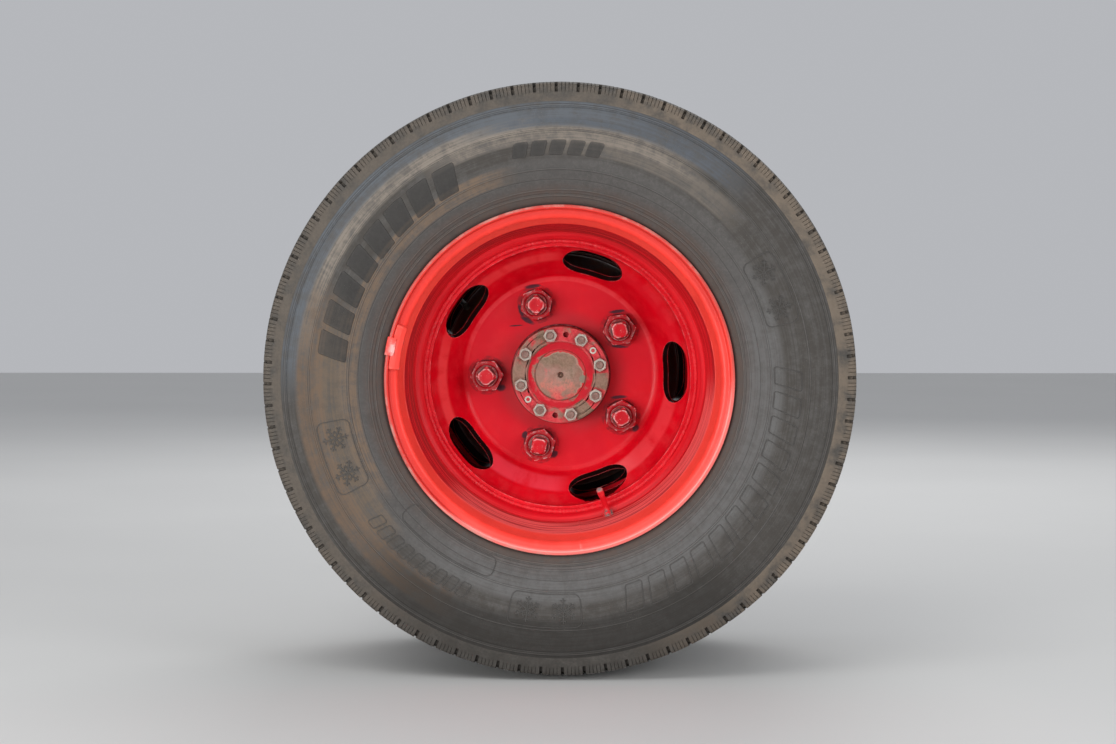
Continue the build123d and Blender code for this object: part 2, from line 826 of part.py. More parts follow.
with BuildPart() as backing_plate:
    half_rib = plate_rib_width / 2
    plate_path = (
        (plate_hole_radius, spindle_flange_station),
        (plate_rib_radius - half_rib - plate_rib_height, spindle_flange_station),
        (plate_rib_radius - half_rib, spindle_flange_station + plate_rib_height),
        (plate_rib_radius + half_rib, spindle_flange_station + plate_rib_height),
        (plate_rib_radius + half_rib + plate_rib_height, spindle_flange_station),
        (plate_lip_radius, spindle_flange_station),
        (plate_lip_radius, spindle_flange_station - plate_lip_length),
    )
    with BuildSketch(along(0)):
        with BuildLine():
            Polyline(*plate_path)
            offset(amount=plate_sheet, side=Side.RIGHT)
        make_face()
    revolve(axis=axle_axis)
    with BuildSketch(across(spindle_flange_station)):
        with PolarLocations(mount_circle / 2, mount_hole_count, start_angle=mount_hole_first_angle):
            Circle(mount_hole_radius)
    extrude(amount=plate_sheet, mode=Mode.SUBTRACT)
    with BuildSketch(cylinder_face):
        with Locations(*cylinder_bolt_places, *cylinder_port_places):
            Circle(cylinder_bolt_radius + seat_clearance)
    extrude(amount=-plate_sheet, mode=Mode.SUBTRACT)
    for plug_angle in plug_angles:
        with BuildSketch(fitting_face(plug_angle)):
            SlotOverall(plug_length, plug_width)
        extrude(amount=-plate_sheet, mode=Mode.SUBTRACT)

with BuildPart() as inspection_plugs:
    for plug_angle in plug_angles:
        with BuildSketch(fitting_face(plug_angle)):
            SlotOverall(plug_length - 2 * seat_clearance, plug_width - 2 * seat_clearance)
        extrude(amount=-plate_sheet)
        with BuildSketch(fitting_face(plug_angle)):
            SlotOverall(plug_length + 2 * plug_height, plug_width + 2 * plug_height)
        extrude(amount=plug_height)


def plate_fitting(place, across_flats, height, tip_radius, tip_height):
    """Hexagon seated on the plate's back, its shank through the plate and a round tip on top."""
    face = cylinder_face * Location((place[0], place[1], 0))
    with BuildPart() as fitting:
        chamfered_hexagon(Plane(face), across_flats, height)
        with BuildSketch(Plane(face)):
            Circle(cylinder_bolt_radius)
        extrude(amount=-plate_sheet)
        if tip_height > 0:
            with BuildSketch(Plane(face).offset(height)):
                Circle(tip_radius)
            extrude(amount=tip_height)
    return fitting


bolt_heads = [
    plate_fitting(place, cylinder_bolt_across_flats, cylinder_bolt_height, 0.0, 0.0)
    for place in cylinder_bolt_places
]
with BuildPart() as cylinder_bolts:
    for bolt_head in bolt_heads:
        add(bolt_head.part)

pipe_union = plate_fitting(
    cylinder_port_places[1], pipe_union_across_flats, pipe_union_height, 0.0, 0.0
)
bleed_screw = plate_fitting(
    cylinder_port_places[0],
    bleed_screw_across_flats,
    bleed_screw_height,
    bleed_nipple_radius,
    bleed_nipple_height,
)


# Valves
def valve(angle, elbow, tip):
    """Bent metal valve: head in the tyre, nut and washer on the ledge, cap on the tip."""
    ledge_face = valve_plane(angle)
    base = ledge_point()[0]
    with BuildPart() as stem:
        with BuildLine(along(angle)) as route:
            FilletPolyline((base, valve_station), elbow, tip, radius=valve_bend)
        with BuildSketch(Plane(route.line @ 0, z_dir=route.line % 0)):
            Circle(valve_stem_radius)
        sweep()
        with BuildSketch(ledge_face.offset(face_clearance)):
            Circle(valve_washer_radius)
        extrude(amount=valve_washer_thickness)
        with BuildSketch(ledge_face.offset(face_clearance + valve_washer_thickness)):
            RegularPolygon(valve_nut_across_flats / 2, 6, major_radius=False)
        extrude(amount=valve_nut_height)
        with BuildSketch(ledge_face.offset(face_clearance)):
            Circle(valve_stem_radius)
        extrude(amount=-(face_clearance + rim_sheet + seat_clearance))
        with BuildSketch(ledge_face.offset(-rim_sheet - seat_clearance)):
            Circle(valve_head_radius)
        extrude(amount=-valve_head_thickness)
        with BuildSketch(Plane(route.line @ 1, z_dir=route.line % 1)):
            Circle(valve_cap_radius)
        extrude(amount=-valve_cap_length)
    return stem


ledge_radius_there, ledge_slope = ledge_point()
outer_elbow = (ledge_radius_there - outer_valve_elbow, valve_station - ledge_slope * outer_valve_elbow)
outer_valve_tip = (ledge_radius_there - outer_valve_tip_drop, outer_valve_tip_station)
outer_valve = valve(outer_valve_angle, outer_elbow, outer_valve_tip)

inner_elbow_radius = drum_outer_radius + inner_valve_elbow_gap
inner_elbow = (
    inner_elbow_radius,
    valve_station - ledge_slope * (ledge_radius_there - inner_elbow_radius),
)
inner_valve_tip = (hand_hole_radius + inner_valve_tip_rise, -inner_valve_tip_station)
unturned_inner_valve = valve(inner_valve_angle, inner_elbow, inner_valve_tip)
with BuildPart() as inner_valve:
    mirror(unturned_inner_valve.part, about=disc_plane)


# Balance weight, clipped to the outer rim's lip
with BuildPart() as balance_weight:
    lip_station = -wheel_offset - half_rim - flange_lip
    face_station = -wheel_offset - half_rim - rim_sheet - seat_clearance
    seat_start_radius = bead_seat_radius + seat_bend - rim_sheet
    top_radius = flange_radius - rim_sheet - weight_top_gap
    with BuildSketch(along(weight_start_angle)):
        with BuildLine():
            weight_foot = Polyline(
                (seat_start_radius, face_station),
                (flange_radius - flange_bend - rim_sheet / 2, face_station),
                (top_radius, face_station - weight_top_gap - flange_bend + rim_sheet / 2),
                (top_radius, face_station - weight_thickness),
                (weight_foot_radius + weight_round, face_station - weight_thickness),
            )
            Line((seat_start_radius, face_station), (weight_foot_radius, face_station + weight_wrap))
            TangentArc(
                weight_foot @ 1, (weight_foot_radius, face_station + weight_wrap), tangent=weight_foot % 1
            )
        make_face()
    revolve(axis=arc_axis, revolution_arc=weight_end_angle - weight_start_angle)

with BuildPart() as weight_clip:
    clip_face = face_station - weight_thickness - seat_clearance
    clip_top = flange_radius + seat_clearance
    with BuildSketch(along(clip_start_angle)):
        with BuildLine():
            Polyline(
                (clip_foot_radius, clip_face),
                (clip_top, clip_face),
                (clip_top, lip_station + clip_reach),
                (clip_top + clip_sheet, lip_station + clip_reach),
                (clip_top + clip_sheet, clip_face - clip_sheet),
                (clip_foot_radius, clip_face - clip_sheet),
                close=True,
            )
        make_face()
    revolve(axis=arc_axis, revolution_arc=clip_end_angle - clip_start_angle)


# Files
pieces = {
    "outer_tyre": outer_tyre,
    "inner_tyre": inner_tyre,
    "outer_rim": outer_rim,
    "inner_rim": inner_rim,
    "outer_disc": outer_disc,
    "inner_disc": inner_disc,
    "hub": hub,
    "brake_drum": brake_drum,
    "axle_shaft": axle_shaft,
    "wheel_studs": wheel_studs,
    "cap_nuts": cap_nuts,
    "outer_nuts": outer_nuts,
    "flange_studs": flange_studs,
    "flange_nuts": flange_nuts,
    "flange_dowels": flange_dowels,
    "outer_bearing": outer_bearing,
    "inner_bearing": inner_bearing,
    "oil_seal": oil_seal,
    "spindle": spindle,
    "lock_nut": lock_nut,
    "backing_plate": backing_plate,
    "inspection_plugs": inspection_plugs,
    "cylinder_bolts": cylinder_bolts,
    "pipe_union": pipe_union,
    "bleed_screw": bleed_screw,
    "outer_valve": outer_valve,
    "inner_valve": inner_valve,
    "balance_weight": balance_weight,
    "weight_clip": weight_clip,
}

os.makedirs("parts", exist_ok=True)
for label, piece in pieces.items():
    piece.part.label = label
    export_step(piece.part, f"parts/{label}.step")
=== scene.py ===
"""Rear twin wheel end of a truck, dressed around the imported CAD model."""
from functools import reduce
from math import radians

import bmesh
import bpy
import numpy as np
from bpy.props import FloatProperty, FloatVectorProperty, IntProperty, PointerProperty
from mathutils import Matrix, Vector


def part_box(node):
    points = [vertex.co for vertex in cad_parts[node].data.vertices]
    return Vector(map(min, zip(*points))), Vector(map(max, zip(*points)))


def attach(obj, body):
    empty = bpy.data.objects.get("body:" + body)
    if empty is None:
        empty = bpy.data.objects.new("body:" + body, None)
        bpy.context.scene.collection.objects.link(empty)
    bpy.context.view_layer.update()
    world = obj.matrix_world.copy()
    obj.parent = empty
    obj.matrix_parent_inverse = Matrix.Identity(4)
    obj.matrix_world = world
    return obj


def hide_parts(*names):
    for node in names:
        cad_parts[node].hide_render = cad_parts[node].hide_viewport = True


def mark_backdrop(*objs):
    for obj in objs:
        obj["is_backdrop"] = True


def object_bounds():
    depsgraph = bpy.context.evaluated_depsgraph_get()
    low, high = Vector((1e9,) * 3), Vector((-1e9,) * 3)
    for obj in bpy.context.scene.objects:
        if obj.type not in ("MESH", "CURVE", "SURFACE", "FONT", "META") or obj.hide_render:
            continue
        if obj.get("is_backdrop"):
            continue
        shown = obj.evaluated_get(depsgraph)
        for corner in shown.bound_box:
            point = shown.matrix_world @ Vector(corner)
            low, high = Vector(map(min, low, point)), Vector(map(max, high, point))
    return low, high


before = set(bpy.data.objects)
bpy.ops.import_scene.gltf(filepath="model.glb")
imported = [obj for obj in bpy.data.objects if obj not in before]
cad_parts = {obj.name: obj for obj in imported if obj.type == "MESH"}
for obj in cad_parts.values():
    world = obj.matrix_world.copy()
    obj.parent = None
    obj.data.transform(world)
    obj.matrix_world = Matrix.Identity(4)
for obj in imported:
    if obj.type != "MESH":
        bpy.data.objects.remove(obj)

bl_info = {
    "name": "Twin wheel end",
    "version": (1, 0, 0),
    "blender": (4, 5, 0),
    "location": "3D View > Sidebar > Wheel",
    "description": "Dresses a truck's rear twin wheel end: tyres, rims, discs, hub, nuts and brake",
    "category": "Object",
}

TURN = 2 * np.pi
METRE = 1000.0
# Distance from the spindle's mounting face to the plane where the two discs meet, in mm
DISC_PLANE = -METRE * (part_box("outer_disc")[1].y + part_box("inner_disc")[0].y) / 2
TYRE_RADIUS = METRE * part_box("outer_tyre")[1].x
HUB_SIDE = "wheel"
FIXED_SIDE = "axle_end"


# ------------------------ settings
def length(label, about, default):
    """A length in millimetres."""
    return FloatProperty(name=label, description=about, default=default, min=0.0)


def colour(label, about, default):
    """A colour, as linear red, green and blue."""
    return FloatVectorProperty(
        name=label, description=about, default=default, subtype="COLOR", min=0.0, max=1.0, size=3
    )


class TyreSettings(bpy.types.PropertyGroup):
    """Sizes and colours of the tyres."""

    pitches: IntProperty(name="Tread pitches", description="Blocks round the tread", default=84, min=20)
    groove_depth: length("Groove depth", "Depth of the tread's grooves, in mm", 12.0)
    groove_width: length("Groove width", "Width of the lateral grooves, in mm", 4.6)
    sipe_depth: length("Sipe depth", "Depth of the fine cuts in the blocks, in mm", 5.0)
    mark_height: length("Mark height", "Height of the moulded marks, in mm", 1.0)
    rubber: colour("Rubber", "Aged sidewall rubber", (0.082, 0.077, 0.073))
    dust: colour("Dust", "Dried road dust", (0.245, 0.185, 0.132))


class PaintSettings(bpy.types.PropertyGroup):
    """Colours of the painted steel."""

    rim: colour("Rim", "Orange-red enamel of the rims", (0.88, 0.050, 0.036))
    # The disc's red, deeper than the rim's, stands partly for painted shade in the dished recess.
    disc: colour("Disc", "Deep red enamel of the discs", (0.68, 0.002, 0.012))
    bare: colour("Bare metal", "Worn, browned steel", (0.215, 0.150, 0.118))
    chip: colour("Chips", "Pale primer and steel at worn edges", (0.62, 0.46, 0.43))
    grime: colour("Grime", "Brown road dirt in the corners", (0.120, 0.062, 0.046))
    chassis: colour("Chassis", "Black chassis paint", (0.018, 0.018, 0.019))


class StageSettings(bpy.types.PropertyGroup):
    """Floor, light and camera."""

    floor: colour("Floor", "Pale floor", (0.64, 0.64, 0.63))
    distance: length("Camera distance", "From the outer rim's lip to the camera, in mm", 3390.0)
    side: FloatProperty(
        name="Camera side", description="Camera's place to the right of the axle, in mm", default=31.0,
    )
    rise: FloatProperty(
        name="Camera rise", description="Camera's height above the axle, in mm", default=158.0,
    )
    lens: length("Lens", "Focal length for a 36 mm wide frame, in mm", 81.9)


# ------------------------ arrays
def place(radius, angle, station):
    """World points in metres: x = r cos a, y = station - disc plane, z = r sin a, all in mm."""
    radius, angle, station = np.broadcast_arrays(radius, angle, station)
    across = (radius * np.cos(angle), station - DISC_PLANE, radius * np.sin(angle))
    return np.stack(across, -1) / METRE


def quads(rows, columns, wrap_rows=False, wrap_columns=True):
    """Corner numbers of a grid's quads; its vertex (i, j) has the number i * columns + j."""
    i = np.arange(rows if wrap_rows else rows - 1)[:, None]
    j = np.arange(columns if wrap_columns else columns - 1)[None, :]
    below, beside = (i + 1) % rows, (j + 1) % columns
    ring = (i * columns + j, i * columns + beside, below * columns + beside, below * columns + j)
    return np.stack(ring, -1).reshape(-1, 4)


def fan(ring, centre):
    """Triangles from a ring's vertex numbers to one centre vertex."""
    return np.stack([ring, np.roll(ring, -1), np.full(len(ring), centre)], -1)


def volume(points, faces):
    """Signed volume of a closed shell: the sum of a . (b x c) / 6 over its triangles."""
    total = 0.0
    for corners in faces:
        p = points[corners]
        for k in range(1, corners.shape[1] - 1):
            total += np.einsum("ij,ij->", p[:, 0], np.cross(p[:, k], p[:, k + 1]))
    return total / 6


def shell(grid, wrap_rows=False, close=False):
    """A (points, faces) shell from a grid of points; close adds a fan over each end ring."""
    rows, columns = grid.shape[:2]
    points = grid.reshape(-1, 3)
    faces = [quads(rows, columns, wrap_rows)]
    if close:
        first, last = np.arange(columns), np.arange(columns) + (rows - 1) * columns
        middle = np.stack([grid[0].mean(0), grid[-1].mean(0)])
        faces.append(fan(first[::-1], len(points)))
        faces.append(fan(last, len(points) + 1))
        points = np.concatenate([points, middle])
    if volume(points - points.mean(0), faces) < 0:
        faces = [corners[:, ::-1] for corners in faces]
    return points, faces


def rounded(corners, radii, closed=False, steps=5):
    """Profile with each corner turned into an arc of its radius, sampled evenly in angle.

    The arc starts r / tan(half the corner's angle) from the corner, and its centre lies on the
    corner's bisector, r / sin(half the angle) away.
    """
    corners = np.asarray(corners, float)
    count = len(corners)
    radii = np.broadcast_to(np.asarray(radii, float), (count,))
    points = []
    for k in range(count):
        if not closed and k in (0, count - 1):
            points.append(corners[k][None])
            continue
        here = corners[k]
        back, ahead = corners[k - 1] - here, corners[(k + 1) % count] - here
        reach = 0.49 * min(np.linalg.norm(back), np.linalg.norm(ahead))
        back, ahead = back / np.linalg.norm(back), ahead / np.linalg.norm(ahead)
        half = np.arccos(np.clip(back @ ahead, -1, 1)) / 2
        if radii[k] <= 0 or half > 1.55:
            points.append(here[None])
            continue
        start = min(radii[k] / np.tan(half), reach)
        radius = start * np.tan(half)
        bisector = (back + ahead) / np.linalg.norm(back + ahead)
        centre = here + bisector * radius / np.sin(half)
        first, last = here + back * start - centre, here + ahead * start - centre
        sweep = np.pi - 2 * half
        share = np.linspace(0, 1, steps + 1)[:, None]
        arc = np.sin((1 - share) * sweep) * first + np.sin(share * sweep) * last
        points.append(centre + arc / np.sin(sweep))
    return np.concatenate(points)


def columns_round(count):
    """Angles of evenly spaced columns round an axis."""
    return np.linspace(0, TURN, count, endpoint=False)


def sideways(steps):
    """Unit normals of a path's steps: each (a, b) becomes (-b, a) over its length."""
    return np.stack([-steps[:, 1], steps[:, 0]], -1) / np.linalg.norm(steps, axis=1)[:, None]


def distances(path):
    """Distance of each point along a path."""
    return np.r_[0, np.cumsum(np.linalg.norm(np.diff(path, axis=0), axis=1))]


def offset_path(path, amount):
    """Path moved sideways by amount: each run is moved along its normal and met with the next."""
    path = np.asarray(path, float)
    normal = sideways(np.diff(path, axis=0))
    before = np.concatenate([normal[:1], normal])
    after = np.concatenate([normal, normal[-1:]])
    mitre = before + after
    return path + amount * 2 * mitre / np.einsum("ij,ij->i", mitre, mitre)[:, None]


def sheet_section(path, radii, thickness, edge):
    """Closed section of a bent sheet: the path, and the path offset by the sheet's thickness."""
    path, radii = np.asarray(path, float), np.asarray(radii, float)
    other = offset_path(path, thickness)
    run = np.diff(path, axis=0)
    turn = np.zeros(len(path))
    turn[1:-1] = run[:-1, 0] * run[1:, 1] - run[:-1, 1] * run[1:, 0]
    inner = np.where(turn * np.sign(thickness) > 0, radii - abs(thickness), radii + abs(thickness))
    inner = np.maximum(inner, 1.0)
    inner[[0, -1]] = edge
    outer = radii.copy()
    outer[[0, -1]] = edge
    corners = np.concatenate([path, other[::-1]])
    return rounded(corners, np.concatenate([outer, inner[::-1]]), closed=True)


def revolve(section, columns, shape=None):
    """Surface of revolution of a closed section: its point k, (radius, station), goes round the axle.

    shape(radius, angle, station) may return a changed radius and station.
    """
    angle = columns_round(columns)[None, :]
    radius, station = section[:, :1], section[:, 1:]
    if shape is not None:
        radius, station = shape(radius, angle, station)
    return shell(place(radius, angle, station), wrap_rows=True)


def divided(path, longest, closed=False, guard=1.2):
    """Path whose long steps are divided: each end gets a point close by, which keeps edges crisp."""
    path = np.asarray(path, float)
    ends = np.roll(path, -1, axis=0) if closed else path[1:]
    out = []
    for a, b in zip(path, ends):
        size = np.linalg.norm(b - a)
        parts = max(1, int(np.ceil(size / longest)))
        share = np.arange(parts) / parts
        if size > 4 * guard:
            share = np.unique(np.r_[share, guard / size, 1 - guard / size])
        out.append(a + (b - a) * share[:, None])
    if not closed:
        out.append(path[-1:])
    return np.concatenate(out)


def around(origin, along, rows, columns, turn=0.0, closed=False):
    """Surface about a local axis: point = origin + axis h + r (u cos a + v sin a).

    rows is a list of (height, radius), where the radius is a number or an array over the angle.
    """
    along = np.asarray(along, float)
    along = along / np.linalg.norm(along)
    side = np.cross(along, (0.0, 0.0, 1.0) if abs(along[2]) < 0.9 else (1.0, 0.0, 0.0))
    side /= np.linalg.norm(side)
    other = np.cross(along, side)
    angle = columns_round(columns)
    radius = np.stack([np.broadcast_to(r, (columns,)) for height, r in rows])[..., None]
    height = np.array([height for height, r in rows])[:, None, None]
    ring = np.cos(angle + turn)[:, None] * side + np.sin(angle + turn)[:, None] * other
    grid = np.asarray(origin) + (height * along + radius * ring) / METRE
    return shell(grid, wrap_rows=closed, close=not closed)


def polygon(columns, sides, flat_radius, sharpness=40.0):
    """Radius of a polygon with rounded corners: the p-norm over its flats, p = sharpness."""
    angle = columns_round(columns)
    flats = TURN * np.arange(sides)[:, None] / sides
    facing = np.maximum(np.cos(angle - flats), 0) / flat_radius
    return (facing**sharpness).sum(0) ** (-1 / sharpness)


def turned_polygon(outline, rows):
    """Rows of a polygon whose corners are turned off: the radius is the smaller of the two."""
    return [(height, np.minimum(outline, limit)) for height, limit in rows]


def tube(path, angle, profile, columns):
    """Tube along a path of (radius, station) points in the plane that holds the axle at an angle.

    profile is a list of (distance along the path, tube radius); the ring's axes are the plane's
    normal and the path's own normal.
    """
    path = np.asarray(path, float)
    run = distances(path)
    distance, radius = np.array(profile).T
    radius = radius[:, None]
    step = 0.5

    def at(distance):
        return np.stack([np.interp(distance, run, column) for column in path.T], -1)

    centre = at(distance)
    normal = sideways(at(distance + step) - at(distance - step))
    turn = columns_round(columns)[None, :]
    out = centre[:, None, 0] + radius * np.cos(turn) * normal[:, None, 0]
    station = centre[:, None, 1] + radius * np.cos(turn) * normal[:, None, 1]
    beside = radius * np.sin(turn)
    x = out * np.cos(angle) - beside * np.sin(angle)
    z = out * np.sin(angle) + beside * np.cos(angle)
    grid = np.stack([x, station - DISC_PLANE, z], -1) / METRE
    return shell(grid, close=True)


def mirrored(shells):
    """Shells turned round to the inner wheel: stations change sign about the discs' plane."""
    turned = []
    for points, faces in shells:
        points = points.copy()
        points[:, 1] = -2 * DISC_PLANE / METRE - points[:, 1]
        turned.append((points, [corners[:, ::-1] for corners in faces]))
    return turned


# Each side's name, and what turns the outer wheel's shells to it
SIDES = (("outer", list), ("inner", mirrored))


# ------------------------ meshes
def set_mesh(mesh, shells):
    """Puts shells into a mesh as whole arrays."""
    points = np.concatenate([p for p, faces in shells])
    starts = np.cumsum([0] + [len(p) for p, faces in shells])
    faces = [corners + start for (p, fs), start in zip(shells, starts) for corners in fs]
    corners = np.concatenate([f.ravel() for f in faces])
    sizes = np.concatenate([np.full(len(f), f.shape[1]) for f in faces])
    mesh.vertices.add(len(points))
    mesh.vertices.foreach_set("co", points.astype(np.float32).ravel())
    mesh.loops.add(len(corners))
    mesh.loops.foreach_set("vertex_index", corners.astype(np.int32))
    mesh.polygons.add(len(sizes))
    mesh.polygons.foreach_set("loop_start", np.r_[0, np.cumsum(sizes)[:-1]].astype(np.int32))
    mesh.update(calc_edges=True)
    mesh.validate()


def join(mesh):
    """Makes one closed skin of patches: points under 0.02 mm apart become one, normals outward."""
    work = bmesh.new()
    work.from_mesh(mesh)
    bmesh.ops.remove_doubles(work, verts=work.verts, dist=2e-5)
    bmesh.ops.recalc_face_normals(work, faces=work.faces)
    work.to_mesh(mesh)
    work.free()


def mark_edges(mesh, reach=2.0):
    """Stores how convex (worn) and how concave (dirty) the surface is at each vertex.

    For an edge from p to q with normals n and m, its bend is (m - n) . (q - p) / |q - p|^2, in
    turns per mm; a vertex takes the mean over its edges times the reach.
    """
    count = len(mesh.vertices)
    points = np.empty(count * 3, np.float32)
    mesh.vertices.foreach_get("co", points)
    points = points.reshape(-1, 3).astype(float) * METRE
    normals = np.empty(count * 3, np.float32)
    mesh.vertex_normals.foreach_get("vector", normals)
    normals = normals.reshape(-1, 3)
    ends = np.empty(len(mesh.edges) * 2, np.int32)
    mesh.edges.foreach_get("vertices", ends)
    ends = ends.reshape(-1, 2)
    along = points[ends[:, 1]] - points[ends[:, 0]]
    size = np.maximum(np.einsum("ij,ij->i", along, along), 1e-4)
    bend = np.einsum("ij,ij->i", normals[ends[:, 1]] - normals[ends[:, 0]], along) / size
    total = np.bincount(ends.ravel(), np.repeat(bend, 2), count)
    share = np.bincount(ends.ravel(), minlength=count)
    mean = total / np.maximum(share, 1) * reach
    for name, value in (("ridge", mean), ("crease", -mean)):
        layer = mesh.attributes.new(name, "FLOAT", "POINT")
        layer.data.foreach_set("value", np.clip(value, 0, 1).astype(np.float32))


def piece(name, shells, material, slot, *replaced, body=HUB_SIDE, sharp=38.0, bevel=0.0, patches=False):
    """A finished piece from shells: shading, edge marks, finish, body and CAD nodes; the slot is not
    used.
    """
    mesh = bpy.data.meshes.new(name)
    set_mesh(mesh, shells)
    if patches:
        join(mesh)
    thing = bpy.data.objects.new(name, mesh)
    bpy.context.scene.collection.objects.link(thing)
    if bevel > 0:
        rounding = thing.modifiers.new("Rounding", "BEVEL")
        rounding.width = bevel / METRE
        rounding.segments = 3
        rounding.limit_method = "ANGLE"
        rounding.angle_limit = radians(40)
        seen = thing.evaluated_get(bpy.context.evaluated_depsgraph_get())
        mesh = bpy.data.meshes.new_from_object(seen)
        thing.modifiers.clear()
        thing.data = mesh
    mesh.polygons.foreach_set("use_smooth", np.ones(len(mesh.polygons), bool))
    mesh.set_sharp_from_angle(angle=radians(sharp))
    mark_edges(mesh)
    mesh.materials.append(material)
    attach(thing, body)
    if replaced:
        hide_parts(*replaced)


# ------------------------ tyre shapes
TYRE_CENTRE = -127.0
TYRE_HALF_WIDTH = METRE * (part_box("outer_tyre")[1].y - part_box("outer_tyre")[0].y) / 2
SHOULDER = (395.5, 95.0)
BUTTRESS = (370.0, 104.0)
WIDEST = 318.0
MARK_ROOM = 1.0
BEAD_EDGE = (243.0, 87.0)


def circle_through(a, b, c):
    """Centre and radius of the circle through three points: it is equally far from all three."""
    a, b, c = (np.asarray(p, float) for p in (a, b, c))
    rows = 2 * np.stack([b - a, c - a])
    centre = np.linalg.solve(rows, np.array([b @ b - a @ a, c @ c - a @ a]))
    return centre, np.linalg.norm(a - centre)


def wall_width(radius):
    """Half width of the sidewall at a radius: w = w0 + sqrt(q^2 - (radius - r0)^2)."""
    centre, reach = circle_through(BUTTRESS, (WIDEST, TYRE_HALF_WIDTH - MARK_ROOM), BEAD_EDGE)
    return centre[1] + np.sqrt(np.maximum(reach**2 - (radius - centre[0]) ** 2, 0))


# Rings moulded on the sidewall: radius, half width and height, in mm
WALL_RINGS = (
    (366.6, 0.9, 0.8),
    (363.2, 0.8, -0.7),
    (333.0, 0.7, 0.5),
    (281.5, 0.7, 0.5),
    (268.0, 0.5, -0.35),
    (254.5, 0.9, 0.6),
    (249.5, 0.7, -0.6),
    (246.5, 0.8, 0.7),
)


def wall_section():
    """Sidewall from bead to buttress: its arc plus a smooth bump or groove at each ring."""
    radius = [np.linspace(BEAD_EDGE[0], BUTTRESS[0] + 1, 40)]
    for centre, half, height in WALL_RINGS:
        radius.append(centre + half * np.array([-2.2, -1.4, -0.8, -0.3, 0.3, 0.8, 1.4, 2.2]))
    radius = np.unique(np.round(np.concatenate(radius), 2))
    lift = np.zeros_like(radius)
    for centre, half, height in WALL_RINGS:
        lift += height * np.exp(-(((radius - centre) / half) ** 4))
    return np.stack([radius, wall_width(radius) + lift], -1)


def casing():
    """Tyre without its tread: a closed section, bead to bead outside and back inside."""
    wall = wall_section()
    bead = np.array([(226.6, 57.0), (222.9, 73.0), (225.4, 76.0), (230.2, 76.3), (236.5, 81.5)])
    crown = np.array([(373.5, 97.0), (377.0, 80.0), (379.0, 40.0)])
    plain = np.array([(r, wall_width(r)) for r in np.linspace(370, BEAD_EDGE[0], 24)])
    inside = np.array(
        [(366.0, 40.0), (362.0, 74.0), (345.0, 93.0), (318.0, 101.0), (280.0, 95.0), (246.0, 72.0)],
    )
    flip = np.array([1, -1])
    section = np.concatenate([
        bead, wall, crown, (crown * flip)[::-1], plain * flip, (bead * flip)[::-1],
        (inside * flip)[::-1], inside,
    ])
    section = section * np.array([1, -1]) + np.array([0, TYRE_CENTRE])
    return revolve(section, columns=400)


# Ribs of the tread: inner edge, outer edge, phase in pitches, depth share of the lateral grooves
TREAD_RIBS = (
    (0.0, 15.5, 0.0, 0.55),
    (21.5, 53.0, 0.5, 0.75),
    (59.0, 95.0, 0.15, 1.0),
)
RIB_GUARD = 3.0
SIPES = 4
SIPE_HALF = 0.5
GROOVE_WALL = 0.35
# Shoulder faces: distance below the edge, cut of the notch, cut of the sipes, and how far the
# face is turned in, in mm
SHOULDER_FACE = np.array([
    (0.5, 5.0, 1.6, 0.8), (2.5, 5.0, 1.5, 0.1), (5.5, 4.6, 1.3, 0.0), (8.5, 4.0, 1.0, 0.0),
    (10.5, 3.0, 0.7, 0.0), (12.0, 0.5, 0.2, 0.0), (15.0, 0.0, 0.0, 0.0), (20.0, 0.0, 0.0, 0.0),
    (25.0, 0.0, 0.0, 0.1), (27.0, 0.0, 0.0, 1.2),
])
# Underside of the tread, hidden on the casing: radius and width, in mm
TREAD_UNDERSIDE = np.array([
    (369.0, 99.0), (376.0, 92.0), (381.0, 50.0), (383.0, 0.0), (381.0, -50.0), (376.0, -92.0),
    (369.0, -99.0),
])


def tread_rows(depth):
    """Half of the tread's rows: (width, cut depth of its groove, on a rib or not)."""
    rows = []
    for inner, outer, *_ in TREAD_RIBS:
        if inner > 0:
            rows += [(inner - 5.2, depth, 0), (inner - 0.8, depth, 0), (inner - 0.1, 0.7, 0)]
        span = np.linspace(inner + (0.5 if inner > 0 else 0), outer - 0.5, 6 + int((outer - inner) / 8))
        rows += [(w, 0.0, 1) for w in span]
        if outer < SHOULDER[1]:
            rows += [(outer + 0.1, 0.7, 0)]
    return rows


def pitch_columns(tyre, pitch):
    """Columns round the tread: angle, and whether each lies in a lateral groove or in a sipe.

    Every pitch has the four of its groove's walls, then three for each sipe.
    """
    size = SHOULDER[0] * pitch
    half_groove, half_sipe = tyre.groove_width / 2 / size, SIPE_HALF / size
    wall = 2 * GROOVE_WALL / size
    column = [-half_groove, -half_groove + wall, half_groove - wall, half_groove]
    lateral = [0.0, 1.0, 1.0, 0.0] + [0.0, 0.0, 0.0] * SIPES
    sipe = [0.0, 0.0, 0.0, 0.0] + [0.0, 1.0, 0.0] * SIPES
    for at in half_groove + (1 - 2 * half_groove) * (np.arange(SIPES) + 1) / (SIPES + 1):
        column += [at - half_sipe, at, at + half_sipe]
    turn = ((np.arange(tyre.pitches)[:, None] + np.array(column)) * pitch).ravel()
    return turn, np.tile(lateral, tyre.pitches), np.tile(sipe, tyre.pitches)


def tread_layer(radius, width, turn):
    """Rows of the tread's points as one (radius, width, turn) array."""
    return np.stack(np.broadcast_arrays(radius, width, turn))


